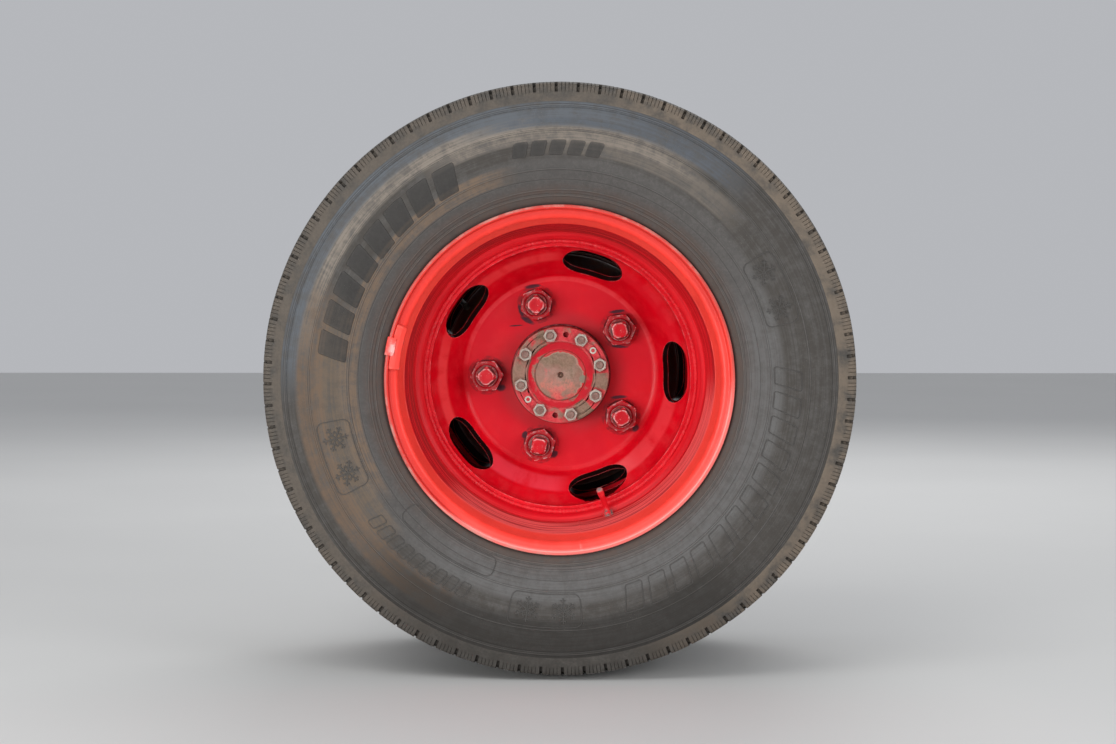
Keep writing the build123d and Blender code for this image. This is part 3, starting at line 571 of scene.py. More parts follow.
def tread(tyre):
    """Tread blocks: a grid of rows across and columns round, pushed inwards by every cut.

    A rib's columns are shifted by its phase and weave by a sine of the width. The crown's radius
    is R - (q - sqrt(q^2 - width^2)), and the shoulder faces run straight down to the buttress.
    """
    pitch = TURN / tyre.pitches
    turn, lateral, sipe = pitch_columns(tyre, pitch)
    uneven = 0.5 + 0.5 * np.sin(turn * 13 + 2 * np.sin(turn * 5))

    half = tread_rows(tyre.groove_depth)
    rows = np.array([(-w, cut, rib) for w, cut, rib in half[::-1] if w > 0] + half)
    width, cut, on_rib = rows.T[..., None]
    ribs = np.array(TREAD_RIBS)
    which = np.clip(np.searchsorted(ribs[:, 0] - RIB_GUARD, np.abs(width)) - 1, 0, len(ribs) - 1)
    phase = ribs[which, 2] + 0.03 * np.sin(width * 0.9)
    drop = TYRE_RADIUS - SHOULDER[0]
    arc = (SHOULDER[1] ** 2 + drop**2) / 2 / drop
    radius = TYRE_RADIUS - (arc - np.sqrt(arc**2 - width**2))
    lateral_cut = on_rib * ribs[which, 3] * tyre.groove_depth * lateral
    sipe_cut = on_rib * tyre.sipe_depth * sipe
    worn = 0.5 * uneven * (np.abs(width) / SHOULDER[1]) ** 4
    deepest = np.maximum(np.maximum(lateral_cut, sipe_cut), cut)
    crown = tread_layer(radius - deepest - worn, width, turn + phase * pitch)

    below, notch_cut, sipe_notch, turned_in = SHOULDER_FACE.T[..., None]
    down = np.subtract(BUTTRESS, SHOULDER)
    down = down / np.linalg.norm(down)
    notch = notch_cut * lateral + sipe_notch * sipe
    inward = notch + turned_in + 0.3 * uneven * (notch == 0)
    side_radius = SHOULDER[0] + down[0] * below - down[1] * inward - 1.5 * (notch_cut > 1) * lateral
    side_width = SHOULDER[1] + down[1] * below + down[0] * inward
    side_turn = turn + phase[-1] * pitch
    side = tread_layer(side_radius, side_width, side_turn)
    other_side = side[:, ::-1] * np.array([1, -1, 1])[:, None, None]
    under = tread_layer(*TREAD_UNDERSIDE.T[..., None], side_turn)
    radius, width, turn = np.concatenate([other_side, crown, side, under], axis=1)
    return shell(place(radius, turn, TYRE_CENTRE - width), wrap_rows=True)


# ------------------------ marks moulded on the sidewall
def on_wall(x, y, lift, radius, angle):
    """Point of the sidewall: x runs clockwise round the wheel and y outwards, from a centre."""
    reach = radius + y
    return place(reach, angle - x / radius, TYRE_CENTRE - wall_width(reach) - lift)


def ridge(path, width, height, radius, angle, closed=False):
    """Ridge carried along a path on the sidewall: a five-sided section on the path's normal."""
    path = np.asarray(path, float)
    ahead = np.roll(path, -1, axis=0) - np.roll(path, 1, axis=0)
    if not closed:
        ahead[0], ahead[-1] = path[1] - path[0], path[-1] - path[-2]
    normal = sideways(ahead)
    side = np.array([-0.5, -0.34, 0.34, 0.5, 0.0]) * width
    lift = np.array([-0.4, height, height, -0.4, -0.8])
    x = path[:, None, 0] + side * normal[:, None, 0]
    y = path[:, None, 1] + side * normal[:, None, 1]
    return shell(on_wall(x, y, lift[None, :], radius, angle), wrap_rows=closed, close=not closed)


def pad(outline, height, radius, angle):
    """Raised plate on the sidewall: rings of its outline shrink towards its middle."""
    outline = np.asarray(outline, float)
    middle = outline.mean(0)
    rings = ((1.0, -0.6), (1.0, 0.0), (0.965, height), (0.7, height), (0.35, height))
    grid = []
    for share, lift in rings:
        p = middle + (outline - middle) * share
        grid.append(on_wall(p[:, 0], p[:, 1], lift, radius, angle))
    return shell(np.stack(grid), close=True)


def slanted(width, height, slant, round_off):
    """Outline of a slanted bar with rounded corners."""
    w, h = width / 2, height / 2
    corners = [(-w - slant, -h), (w - slant, -h), (w + slant, h), (-w + slant, h)]
    return divided(rounded(corners, round_off, closed=True, steps=3), 3.0, closed=True)


def snowflake(size, height, radius, angle):
    """Plain six-armed flake: every arm has two pairs of side branches at 60 degrees."""
    strokes = []
    for arm in range(6):
        lean = radians(60 * arm + 30)
        out = np.array([np.cos(lean), np.sin(lean)])
        strokes.append(([out * 0.6, out * size / 2], 2.4))
        for at, long in ((0.30, 0.17), (0.60, 0.13)):
            for side in (-1, 1):
                bent = lean + side * radians(60)
                branch = np.array([np.cos(bent), np.sin(bent)])
                start = out * size / 2 * at * 1.2
                strokes.append(([start, start + branch * size * long], 1.9))
    return [ridge(divided(p, 3.0), w, height, radius, angle) for p, w in strokes]


# Flakes: radius, angle in degrees, size.  Frames: radius, angle, length, height.
FLAKES = (
    (307.0, 18.5, 34.0), (307.0, 28.0, 34.0),
    (307.0, 194.5, 34.0), (307.0, 203.5, 34.0),
    (307.0, 262.0, 34.0), (307.0, 271.0, 34.0),
)
FRAMES = (
    (307.0, 23.2, 96.0, 44.0),
    (307.0, 199.0, 96.0, 44.0),
    (307.0, 266.5, 96.0, 44.0),
    (265.0, 235.5, 142.0, 27.0),
)
# Rows of slanted bars: radius, first and last angle in degrees, count, share filled, height,
# slant, and whether a bar is a plate (1) or an outline (0)
BAR_ROWS = (
    (304.0, 175.0, 116.0, 8, 0.80, 38.0, 5.0, 1),
    (310.0, 102.0, 79.0, 5, 0.78, 20.0, 3.0, 1),
    (304.0, 4.0, -74.0, 12, 0.70, 36.0, 5.0, 0),
    (306.0, 247.0, 216.0, 9, 0.70, 20.0, 2.5, 0),
)


def sidewall_flakes(tyre):
    """Pairs of flakes in rounded frames."""
    shells = []
    for radius, angle, size in FLAKES:
        shells += snowflake(size, tyre.mark_height, radius, radians(angle))
    for radius, angle, long, high in FRAMES:
        w, h = long / 2, high / 2
        corners = [(-w, -h), (w, -h), (w, h), (-w, h)]
        path = divided(rounded(corners, 9.0, closed=True), 4.0, closed=True)
        shells.append(ridge(path, 1.5, tyre.mark_height * 0.8, radius, radians(angle), closed=True))
    return shells


def sidewall_bars(tyre):
    """Plain slanted bars in rows, some as plates and some as outlines."""
    shells = []
    for radius, first, last, count, filled, high, slant, plate in BAR_ROWS:
        pitch = (last - first) / count
        wide = abs(radians(pitch)) * radius * filled
        for k in range(count):
            angle = radians(first + pitch * (k + 0.5))
            outline = slanted(wide, high, slant, 2.5)
            if plate:
                shells.append(pad(outline, tyre.mark_height, radius, angle))
            else:
                shells.append(ridge(outline, 1.5, tyre.mark_height * 0.8, radius, angle, closed=True))
    return shells


# ------------------------ wheel shapes
RIM_PATH = (
    (234.95, -215.0), (234.95, -203.2), (222.25, -203.2), (215.28, -177.2), (205.3, -109.0),
    (194.5, -102.0), (194.5, -85.0), (216.57, -72.0), (222.25, -50.8), (234.95, -50.8), (234.95, -39.0),
)
RIM_BENDS = (0, 8.5, 7.0, 10.0, 8.0, 9.0, 9.0, 9.0, 7.0, 8.5, 0)
RIM_SHEET = 5.5
LIP_RADIUS = RIM_PATH[0][0]
LIP_FACE = RIM_PATH[1][1] - RIM_SHEET
BUTT_WELD_ANGLE = 277.5
DISC_SHEET = 9.0
DISC_PATH = ((180.0, -97.0), (180.0, -75.4), (137.0, -9.0), (69.0, -9.0))
DISC_BENDS = (0.0, 30.0, 15.0, 0.0)
CONE_RUN = np.subtract(DISC_PATH[2], DISC_PATH[1])
CONE_INWARD, CONE_OUTBOARD = (CONE_RUN * (-1, 1) / np.linalg.norm(CONE_RUN)).tolist()
HOLES = 5
HOLE_FIRST = 1.5
HOLE_RADIUS = 161.0
HOLE_SIZE = (86.0, 60.0)
NOTCHED_HOLE = 4


def rim_shells():
    """Rim rolled from one sheet, its lip and bends rounded."""
    section = sheet_section(RIM_PATH, RIM_BENDS, RIM_SHEET, edge=1.6)
    return [revolve(divided(section, 12.0, closed=True), columns=360)]


def stadium(direction, long, wide):
    """Reach from the middle of a rounded slot to its edge in a direction.

    It meets the straight side at (wide / 2) / sin, or else the end's circle.
    """
    half, radius = (long - wide) / 2, wide / 2
    x, y = np.abs(np.cos(direction)), np.abs(np.sin(direction))
    straight = radius / np.maximum(y, 1e-9)
    end = half * x + np.sqrt(np.maximum(radius**2 - (half * y) ** 2, 0))
    return np.where(straight * x <= half, straight, end)


def disc_profile():
    """Open face of the disc as (radius, station), its distance from the rim's end, its normal."""
    line = rounded(DISC_PATH, DISC_BENDS, steps=14)
    line = divided(line, 1.0, guard=9.0)
    return line, distances(line), -sideways(np.gradient(line, axis=0))


def hand_hole(direction, turned, notched):
    """A hand hole's edge as (angle, distance along the profile).

    A slot drawn on the cone's tangent plane is carried square to that plane onto the profile.
    """
    line, run, _ = disc_profile()
    long, wide = HOLE_SIZE
    local = np.arctan2(-np.sin(direction) * wide, -np.cos(direction) * long)
    reach = stadium(local, long, wide)
    if notched:
        ragged = 9.5 + 1.6 * np.sin(23 * local) + 1.1 * np.sin(41 * local + 1)
        mouth = np.exp(-(((np.degrees(local) - 84) / 36) ** 4))
        reach = reach + ragged * mouth
    u, v = reach * np.cos(local), reach * np.sin(local)
    share = (DISC_PATH[1][0] - HOLE_RADIUS) / (DISC_PATH[1][0] - DISC_PATH[2][0])
    station = DISC_PATH[1][1] + share * (DISC_PATH[2][1] - DISC_PATH[1][1])
    out, depth = CONE_INWARD, CONE_OUTBOARD
    w = (station - depth * v[:, None] - line[None, :, 1]) / out
    beside = HOLE_RADIUS + out * v[:, None] - depth * w
    miss = np.abs(np.hypot(beside, u[:, None]) - line[None, :, 0])
    best = np.clip(miss.argmin(1), 1, len(run) - 2)
    row = np.arange(len(u))
    signed = np.hypot(beside, u[:, None]) - line[None, :, 0]
    slope = (signed[row, best + 1] - signed[row, best - 1]) / (run[best + 1] - run[best - 1])
    distance = run[best] - signed[row, best] / np.where(np.abs(slope) < 1e-6, 1.0, slope)
    return turned - np.arctan2(u, beside[row, best]), distance


def sector_grid(first, last, low, high, hole, columns, rows, rings):
    """Grid between a hole's edge and its sector's border: p = hole + f (border - hole)."""
    across = np.linspace(first, last, columns + 1)
    up = np.linspace(low, high, rows + 1)
    border = np.concatenate([
        np.stack([across[:-1], np.full(columns, low)], -1),
        np.stack([np.full(rows, last), up[:-1]], -1),
        np.stack([across[:0:-1], np.full(columns, high)], -1),
        np.stack([np.full(rows, first), up[:0:-1]], -1),
    ])
    middle = np.array([(first + last) / 2, (low + high) / 2])
    spread = (border - middle) / (np.array([last - first, high - low]) / 2)
    angle, reach = hole(np.arctan2(spread[:, 1], spread[:, 0]))
    edge = np.stack([angle, reach], -1)
    share = np.asarray(rings)[:, None, None]
    return edge[None] + share * (border - edge)[None]


def patch(points):
    """An open (points, faces) patch, to be joined to its neighbours."""
    rows, columns = points.shape[:2]
    return points.reshape(-1, 3), [quads(rows, columns)]


def capped(ring):
    """Fan of triangles from a ring of points to its middle."""
    middle = ring.mean(0, keepdims=True)
    return np.concatenate([ring, middle]), [fan(np.arange(len(ring)), len(ring))]


def blind_hole(middle, half_span, radius, circle, band, face, depths, columns, rows, rings):
    """A round hole in a sector of a flat face: the face about it, its wall and its bottom.

    Its edge is (middle + radius / circle cos d, circle + radius sin d) for each direction d.
    """

    def edge(direction):
        return middle + radius / circle * np.cos(direction), circle + radius * np.sin(direction)

    grid = sector_grid(middle - half_span, middle + half_span, *band, edge, columns, rows, rings)
    angle, reach = grid[..., 0], grid[..., 1]
    wall = face + np.array(depths)[:, None]
    return [
        patch(place(reach, angle, face)),
        patch(place(reach[:1], angle[:1], wall)),
        capped(place(reach[0], angle[0], wall[-1])),
    ]


RINGS = (0.0, 0.015, 0.05, 0.12, 0.22, 0.34, 0.48, 0.62, 0.76, 0.88, 1.0)
SECTOR_COLUMNS = 44
SECTOR_ROWS = 16


def dish_shells(notched):
    """Pressed disc: open face and back face over one (angle, distance) layout, joined by walls."""
    line, run, normal = disc_profile()

    def surface(angle, distance, depth):
        at = [np.interp(distance, run, column) for column in (*line.T, *normal.T)]
        return place(at[0] + depth * at[2], angle, at[1] + depth * at[3])

    low = 5.0
    high = float(np.interp(-140.5, -line[:, 0], run))
    total = SECTOR_COLUMNS * HOLES
    span = TURN / HOLES
    start = radians(HOLE_FIRST) - span / 2
    turn = (start + np.arange(total) * span / SECTOR_COLUMNS)[None, :]
    outer_rows = np.array([0.0, 1.5, low])[:, None]
    inner_rows = np.r_[high, run[(run > high + 1) & (run < run[-1] - 1)][::2], run[-1] - 1.5, run[-1]][
        :, None,
    ]
    patches = []
    for depth in (0.0, DISC_SHEET):
        patches.append(patch(surface(turn, outer_rows, depth)))
        patches.append(patch(surface(turn, inner_rows, depth)))
    through = np.array([0.0, 1.5, DISC_SHEET - 1.5, DISC_SHEET])[:, None]
    for at in (run[:1], run[-1:]):
        patches.append(patch(surface(turn, np.broadcast_to(at, through.shape), through)))
    for number in range(HOLES):
        middle = radians(HOLE_FIRST) + number * span
        is_notched = notched and number == NOTCHED_HOLE

        def edge(direction):
            return hand_hole(direction, middle, is_notched)

        grid = sector_grid(
            middle - span / 2, middle + span / 2, low, high, edge, SECTOR_COLUMNS, SECTOR_ROWS, RINGS
        )
        for depth in (0.0, DISC_SHEET):
            patches.append(patch(surface(grid[..., 0], grid[..., 1], depth)))
        patches.append(patch(surface(grid[:1, :, 0], grid[:1, :, 1], through)))
    return patches


def weld_bead():
    """Weld that joins the disc's end to the rim's well: a round bead with ripples along it.

    Its radius is 3.4 mm times 1 + 0.16 |sin 95 a| + 0.10 sin 7 a + 0.07 sin (29 a + 2), and it
    lies in the corner by the disc's end.
    """
    angle = columns_round(720)[None, :]
    around_bead = columns_round(10)[:, None]
    uneven = 0.10 * np.sin(7 * angle) + 0.07 * np.sin(29 * angle + 2)
    size = 3.4 * (1 + 0.16 * np.abs(np.sin(95 * angle)) + uneven)
    radius = DISC_PATH[0][0] + DISC_SHEET - 1.6 + size * np.cos(around_bead)
    station = DISC_PATH[0][1] - 0.6 + 1.1 * size * np.sin(around_bead) + 0.5 * np.sin(5 * angle)
    return [shell(place(radius, angle, station), wrap_rows=True)]


def butt_weld():
    """Dressed weld across the rim where its sheet was joined: a low ridge along the section."""
    path = rounded(offset_path(RIM_PATH, RIM_SHEET)[:5], (0, 3.0, 12.5, 10.0, 0))
    path = divided(path, 2.0)
    normal = sideways(np.gradient(path, axis=0))
    beside = np.array([-3.4, -1.6, 0.0, 1.6, 3.4, 0.0])[None, :]
    lift = np.array([-0.5, 0.28, 0.42, 0.28, -0.5, -1.4])[None, :]
    wave = 1 + 0.25 * np.sin(np.arange(len(path)) * 1.1)[:, None]
    radius = path[:, :1] + normal[:, :1] * lift * wave
    station = path[:, 1:] + normal[:, 1:] * lift * wave
    return [shell(place(radius, radians(BUTT_WELD_ANGLE) + beside / path[:, :1], station), close=True)]


def hub_shells():
    """Hub: spigot, flange and barrel turned about the axle."""
    section = rounded([
        (50.0, -36.0), (68.5, -36.0), (68.5, 9.0), (128.0, 9.0), (128.0, 25.0), (75.9, 25.0),
        (72.0, 35.0), (72.0, 120.3), (60.0, 120.3), (60.0, 75.0), (54.0, 75.0), (44.0, 61.0),
        (44.0, 9.0), (50.0, 9.0),
    ], [0.8, 1.6, 0.5, 2.5, 2.5, 2.0, 3.0, 1.5, 0.8, 0.5, 2, 3, 2, 0.5], closed=True)
    return [revolve(divided(section, 12.0, closed=True), columns=240)]


def drum_shells():
    """Brake drum: bowl with a mouth band, two ribs and a slightly uneven cast skin."""
    outside = [
        (76.0, 25.0), (134.0, 25.0), (170.0, 110.0), (170.0, 136.5), (173.0, 136.5), (173.0, 143.5),
        (170.0, 143.5), (170.0, 162.5), (173.0, 162.5), (173.0, 169.5), (170.0, 169.5),
        (170.0, 191.0), (175.0, 191.0), (175.0, 215.0),
    ]
    inside = [(160.0, 215.0), (160.0, 112.0), (127.4, 35.0), (76.0, 35.0)]
    bends = [0.5, 18, 30, 2, 1.5, 1.5, 2, 2, 1.5, 1.5, 2, 2, 2, 1.5, 1.5, 20, 9, 0.5]
    section = divided(rounded(outside + inside, bends, closed=True, steps=6), 6.0, closed=True)

    def cast(radius, angle, station):
        out = np.clip((radius - 162.0) / 6, 0, 1)
        wave = 0.22 * np.sin(9 * angle + station / 14) + 0.12 * np.sin(31 * angle)
        return radius + out * wave, station

    return [revolve(section, columns=300, shape=cast)]


SHAFT_COLUMNS = 240
SPLINES = 20
SPLINE_START = 688.0
SHAFT_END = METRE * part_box("axle_shaft")[1].y + DISC_PLANE
JACK_HOLES = (82.3, 262.3)
JACK_HOLE_RADIUS = 4.0
FLANGE_FACE = -50.0
FLANGE_CIRCLE = 57.0


def shaft_shells():
    """Drive shaft: flange face with its two jack holes, boss, shaft and rolled splines."""
    turn = radians(JACK_HOLES[0]) - TURN / 4 + np.arange(SHAFT_COLUMNS)[None, :] * TURN / SHAFT_COLUMNS
    face = FLANGE_FACE
    inner = rounded([
        (1.0, -42.6), (2.2, -43.9), (4.4, face), (34.5, face), (36.8, face + 3), (45.4, face + 3),
        (47.4, face), (50.0, face),
    ], (0, 0.6, 0.5, 1.2, 1.6, 1.6, 1.0, 0), steps=4)
    outer = rounded([
        (64.0, face), (67.8, face), (67.8, -36.2), (49.9, -36.2), (49.9, -34.0), (23.0, -34.0),
        (18.0, -29.0), (18.0, SPLINE_START - 1.5), (19.5, SPLINE_START), (19.5, SHAFT_END - 1.5),
        (18.0, SHAFT_END), (4.5, SHAFT_END), (2.0, SHAFT_END - 5),
    ], (0, 1.5, 1.0, 0.5, 0.5, 2.0, 5.0, 2.0, 1.0, 0.6, 0.6, 0.6, 0), steps=4)
    outer = divided(outer, 24.0)

    def turned(line):
        radius, station = line[:, :1], line[:, 1:]
        tooth = 0.5 - 0.5 * np.tanh(6 * np.cos(SPLINES * turn))
        cut = np.clip((station - SPLINE_START) / 3, 0, 1) * (radius > 17.9) * (station > 0)
        return place(radius - 1.8 * tooth * cut, turn, station)

    patches = [patch(turned(inner)), patch(turned(outer))]
    for line, row in ((inner, 0), (outer, -1)):
        patches.append(capped(turned(line)[row]))
    for degrees in JACK_HOLES:
        patches += blind_hole(
            radians(degrees), TURN / 4, JACK_HOLE_RADIUS, FLANGE_CIRCLE, (50.0, 64.0), face,
            (0.0, 0.6, 6.0, 12.5), SHAFT_COLUMNS // 2, 6, (0.0, 0.04, 0.12, 0.3, 0.6, 1.0),
        )
    return patches


# ------------------------ fasteners
OUTBOARD = (0.0, -1.0, 0.0)
STUD_CIRCLE = 104.0
STUD_FIRST = 37.2
# Wheel nuts: turn of the hexagon and of the square, in degrees
NUT_TURNS = ((8.0, 12.0), (20.0, 45.0), (3.0, 42.0), (14.0, -10.0), (27.0, 30.0))
FLANGE_STUDS = 8
FLANGE_STUD_FIRST = 14.5
DOWELS = (37.0, 217.0)


def spot(angle, radius, station):
    """One world point at an angle in degrees."""
    return place(radius, radians(angle), station)


def wheel_stud(number, station):
    """World point on a wheel stud's axis."""
    return spot(STUD_FIRST + number * 360 / len(NUT_TURNS), STUD_CIRCLE, station)


def flange_stud(number):
    """World point on a flange stud's axis, in the flange's face."""
    return spot(FLANGE_STUD_FIRST + number * 360 / FLANGE_STUDS, FLANGE_CIRCLE, FLANGE_FACE)


def thread(low, high, radius, pitch, depth, columns, steps=6):
    """Rows of a screw thread: r = radius - depth * |2 frac(h / pitch - a / turn) - 1|."""
    height = np.arange(low, high, pitch / steps)
    lead = np.arange(columns) / columns
    rows = []
    for h in height:
        phase = (h / pitch - lead) % 1.0
        fade = min(1.0, (h - low) / pitch + 0.2, (high - h) / pitch + 0.2)
        rows.append((h, radius - fade * depth * (1 - np.abs(2 * phase - 1) ** 1.4)))
    return rows


def wheel_nut_shells():
    """Outer nuts: hexagons with corners turned off at 30 degrees and a cone under them."""
    columns = 96
    hexagon = polygon(columns, 6, 20.5, 46.0)
    shells = []
    for number, (turn, _) in enumerate(NUT_TURNS):
        rows = turned_polygon(hexagon, [
            (-3.5, 16.2), (-0.2, 19.6), (0.1, 20.3), (0.9, 22.0), (1.9, 24.0), (2.6, 24.0),
            (14.0, 24.0), (25.2, 24.0), (25.9, 24.0), (26.3, 23.2), (27.0, 22.0), (27.7, 20.9),
            (28.0, 20.0), (28.0, 18.0), (27.7, 16.8), (26.2, 15.3), (20.0, 15.2), (-3.5, 15.2),
        ])
        origin = wheel_stud(number, -DISC_SHEET)
        shells.append(around(origin, OUTBOARD, rows, columns, radians(turn + 30), closed=True))
    return shells


CAP_NUT_CORNER = 11.4
# Rounded end of a cap nut's square: height in mm, share of the square's width
CAP_NUT_CROWN = (
    (62.4, 0.985), (63.1, 0.95), (63.6, 0.89), (63.9, 0.81), (64.0, 0.72), (63.9, 0.50), (63.8, 0.22),
)


def cap_nut_shells():
    """Cap nuts: a threaded barrel that ends in a square with worn corners."""
    columns = 96
    square = polygon(columns, 4, 10.5, 17.0)
    shells = []
    for number, (_, turn) in enumerate(NUT_TURNS):
        rows = [(-3.4, 11.6), (-0.1, 14.9), (8.0, 14.9), (28.2, 14.9)]
        rows += thread(28.6, 48.6, 14.95, 2.2, 1.15, columns)
        rows += [(48.8, 14.3), (49.7, 13.6)]
        rows += turned_polygon(square, [
            (50.0, 12.9), (50.1, 13.8), (50.8, 13.9), (56.0, 13.9), (56.4, CAP_NUT_CORNER),
            (61.4, CAP_NUT_CORNER),
        ])
        rows += [(h, share * np.minimum(square, CAP_NUT_CORNER)) for h, share in CAP_NUT_CROWN]
        origin = wheel_stud(number, 0.0)
        shells.append(around(origin, OUTBOARD, rows, columns, radians(turn)))
    return shells


def flange_nut_shells():
    """Axle flange nuts: hexagons with broad turned corners, each on a spring washer."""
    columns = 72
    hexagon = polygon(columns, 6, 8.45, 40.0)
    shells = []
    for number in range(FLANGE_STUDS):
        rows = turned_polygon(hexagon, [
            (0.0, 5.2), (0.0, 8.6), (0.25, 9.6), (1.0, 9.8), (4.0, 9.8), (6.6, 9.8), (7.0, 9.2),
            (7.6, 8.2), (7.95, 7.4), (7.95, 6.4), (7.4, 5.3), (6.0, 5.15),
        ])
        shells.append(
            around(flange_stud(number), OUTBOARD, rows, columns, radians(17 * number), closed=True)
        )
    return shells


def flange_stud_shells():
    """Axle flange studs: threaded tips with a turned-off end."""
    columns = 36
    shells = []
    for number in range(FLANGE_STUDS):
        rows = [(-33.5, 4.6), (-32.5, 5.0), (4.0, 5.0)]
        rows += thread(4.5, 10.2, 5.0, 1.25, 0.5, columns)
        rows += [(10.4, 4.5), (10.95, 3.9), (10.95, 2.0)]
        shells.append(around(flange_stud(number), OUTBOARD, rows, columns))
    return shells


def dowel_shells():
    """Cone dowels: a pale ring with a small centre hole."""
    shells = []
    for angle in DOWELS:
        rows = [
            (-23.5, 4.6), (-22.5, 4.95), (0.4, 4.95), (1.15, 4.5), (1.2, 2.9), (0.9, 2.5), (-1.6, 2.2),
        ]
        shells.append(around(spot(angle, FLANGE_CIRCLE, FLANGE_FACE), OUTBOARD, rows, 40))
    return shells


# ------------------------ valves and weight
VALVE_STATION = -121.0
WEIGHT_ANGLE = 168.6


def ledge_there():
    """Radius of the rim's open face at the valve, and the ledge's slope."""
    (r0, t0), (r1, t1) = RIM_PATH[3], RIM_PATH[4]
    slope = (r0 - r1) / (t1 - t0)
    radius = r0 - slope * (VALVE_STATION - t0)
    return radius - RIM_SHEET * np.sqrt(1 + slope**2), slope


def valve_shells(angle, corners, bend):
    """Valve: base washer and nut on the ledge, bent stem, knurled cap on the tip."""
    base, slope = ledge_there()
    route = rounded(corners, bend, steps=10)
    run = distances(route)[-1]
    straight = np.linspace(0, run - 12.0, 48)
    profile = [(0.0, 3.6)] + [(d, 4.0) for d in straight[1:]]
    profile += [(run - 11.6, 4.3), (run - 11.2, 4.6)]
    profile += [(run - 11.0 + 0.45 * k, 4.6 - 0.22 * (k % 2)) for k in range(20)]
    profile += [(run - 1.6, 4.5), (run - 0.8, 4.1), (run - 0.2, 3.0)]
    inward = (-np.cos(radians(angle)), -slope, -np.sin(radians(angle)))
    origin = spot(angle, base, VALVE_STATION)
    columns = 60
    hexagon = polygon(columns, 6, 5.9, 30.0)
    rows = [(0.3, 6.6), (0.45, 7.0), (1.9, 7.0), (2.2, 6.6)]
    rows += turned_polygon(
        hexagon, [(2.3, 5.7), (2.6, 6.4), (3.0, 7.2), (6.2, 7.2), (6.8, 6.3), (7.2, 5.5), (7.2, 4.1)],
    )
    foot = around(origin, inward, rows, columns)
    return [tube(route, radians(angle), profile, 28), foot]


def outer_valve_shells():
    """Short bent valve of the outer wheel, its tip in the notched hand hole."""
    base, slope = ledge_there()
    elbow = (base - 13.0, VALVE_STATION - slope * 13.0)
    return valve_shells(289.5, [(base, VALVE_STATION), elbow, (161.0, -145.0)], (0, 12.0, 0))


def inner_valve_shells():
    """Long bent valve of the inner wheel, led out through both discs' hand holes."""
    base, slope = ledge_there()
    elbow = (179.6, VALVE_STATION - slope * (base - 179.6))
    return mirrored(valve_shells(145.5, [(base, VALVE_STATION), elbow, (164.5, -48.0)], (0, 14.0, 0)))


def weight_shells():
    """Balance weight: its section is carried along the lip and rounded at both ends."""
    face = LIP_FACE - 0.1
    section = rounded([
        (220.8, face), (227.0, face), (229.1, face - 2.6), (229.1, face - 7.4), (220.6, face - 7.4),
        (214.6, face - 4.6), (214.5, face + 2.6),
    ], (1.0, 2.0, 1.0, 1.8, 3.0, 2.0, 1.0), closed=True, steps=4)
    columns = 40
    share = np.linspace(-1, 1, columns)[:, None]
    shrink = np.sqrt(np.clip(1 - (np.maximum(np.abs(share) - 0.93, 0) / 0.07) ** 2, 0.02, 1))
    middle = np.array([224.0, face - 2.5])
    radius = middle[0] + (section[None, :, 0] - middle[0]) * (0.75 + 0.25 * shrink)
    station = middle[1] + (section[None, :, 1] - middle[1]) * (0.6 + 0.4 * shrink)
    angle = radians(WEIGHT_ANGLE) + share * radians(7.8)
    return [shell(place(radius, angle, station), close=True)]


def clip_shells():
    """Spring clip: a bent strap from the weight's face over the rim's lip."""
    face = LIP_FACE - 7.7
    lip = LIP_RADIUS
    section = rounded([
        (224.0, face), (lip + 0.1, face), (lip + 0.1, -212.2), (lip + 1.6, -212.2),
        (lip + 1.6, face - 1.5), (224.0, face - 1.5),
    ], (0.4, 1.0, 0.4, 0.4, 2.4, 0.4), closed=True, steps=4)
    angle = radians(WEIGHT_ANGLE) + np.linspace(-1, 1, 14)[:, None] * radians(3.0)
    return [shell(place(section[None, :, 0], angle, section[None, :, 1]), close=True)]


# ------------------------ fixed side
BOLT_HOLES = 8
BOLT_HOLE_FIRST = 22.5
BOLT_HOLE_RADIUS = 7.25
BOLT_CIRCLE = 85.0


def spindle_shells():
    """Spindle: journals, neck and a flange with eight bolt holes, each a cup in its face."""
    line = rounded([
        (23.0, -30.0), (26.4, -30.0), (26.4, -18.3), (27.5, -18.3), (27.5, 9.0), (32.5, 75.0),
        (32.5, 108.3), (40.0, 108.3), (40.0, 126.3), (45.0, 132.3), (45.0, 213.5), (57.0, 225.5),
        (104.9, 225.5), (104.9, 243.4),
    ], (0, 0.8, 0.3, 0.5, 0.5, 0.5, 1.0, 1.0, 1.0, 3.0, 12.0, 8.0, 1.0, 0), steps=4)
    columns = 224
    half_span = TURN / BOLT_HOLES / 2
    start = radians(BOLT_HOLE_FIRST) - half_span
    turn = (start + np.arange(columns) * TURN / columns)[None, :]
    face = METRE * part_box("spindle")[1].y + DISC_PLANE
    outer = np.concatenate(
        [divided(line, 12.0)[:-1], [(104.9, face - 1.2), (103.7, face), (100.0, face)]],
    )
    inner = divided([(70.0, face), (24.2, face), (23.0, face - 1.2), (23.0, -30.0)], 60.0)
    patches = []
    for part in (outer, inner):
        patches.append(patch(place(part[:, :1], turn, part[:, 1:])))
    for number in range(BOLT_HOLES):
        patches += blind_hole(
            radians(BOLT_HOLE_FIRST) + number * 2 * half_span, half_span, BOLT_HOLE_RADIUS, BOLT_CIRCLE,
            (70.0, 100.0), face, (0.0, -0.6, -8.0, -17.5), columns // BOLT_HOLES, 10,
            (0.0, 0.06, 0.2, 0.5, 1.0),
        )
    return patches


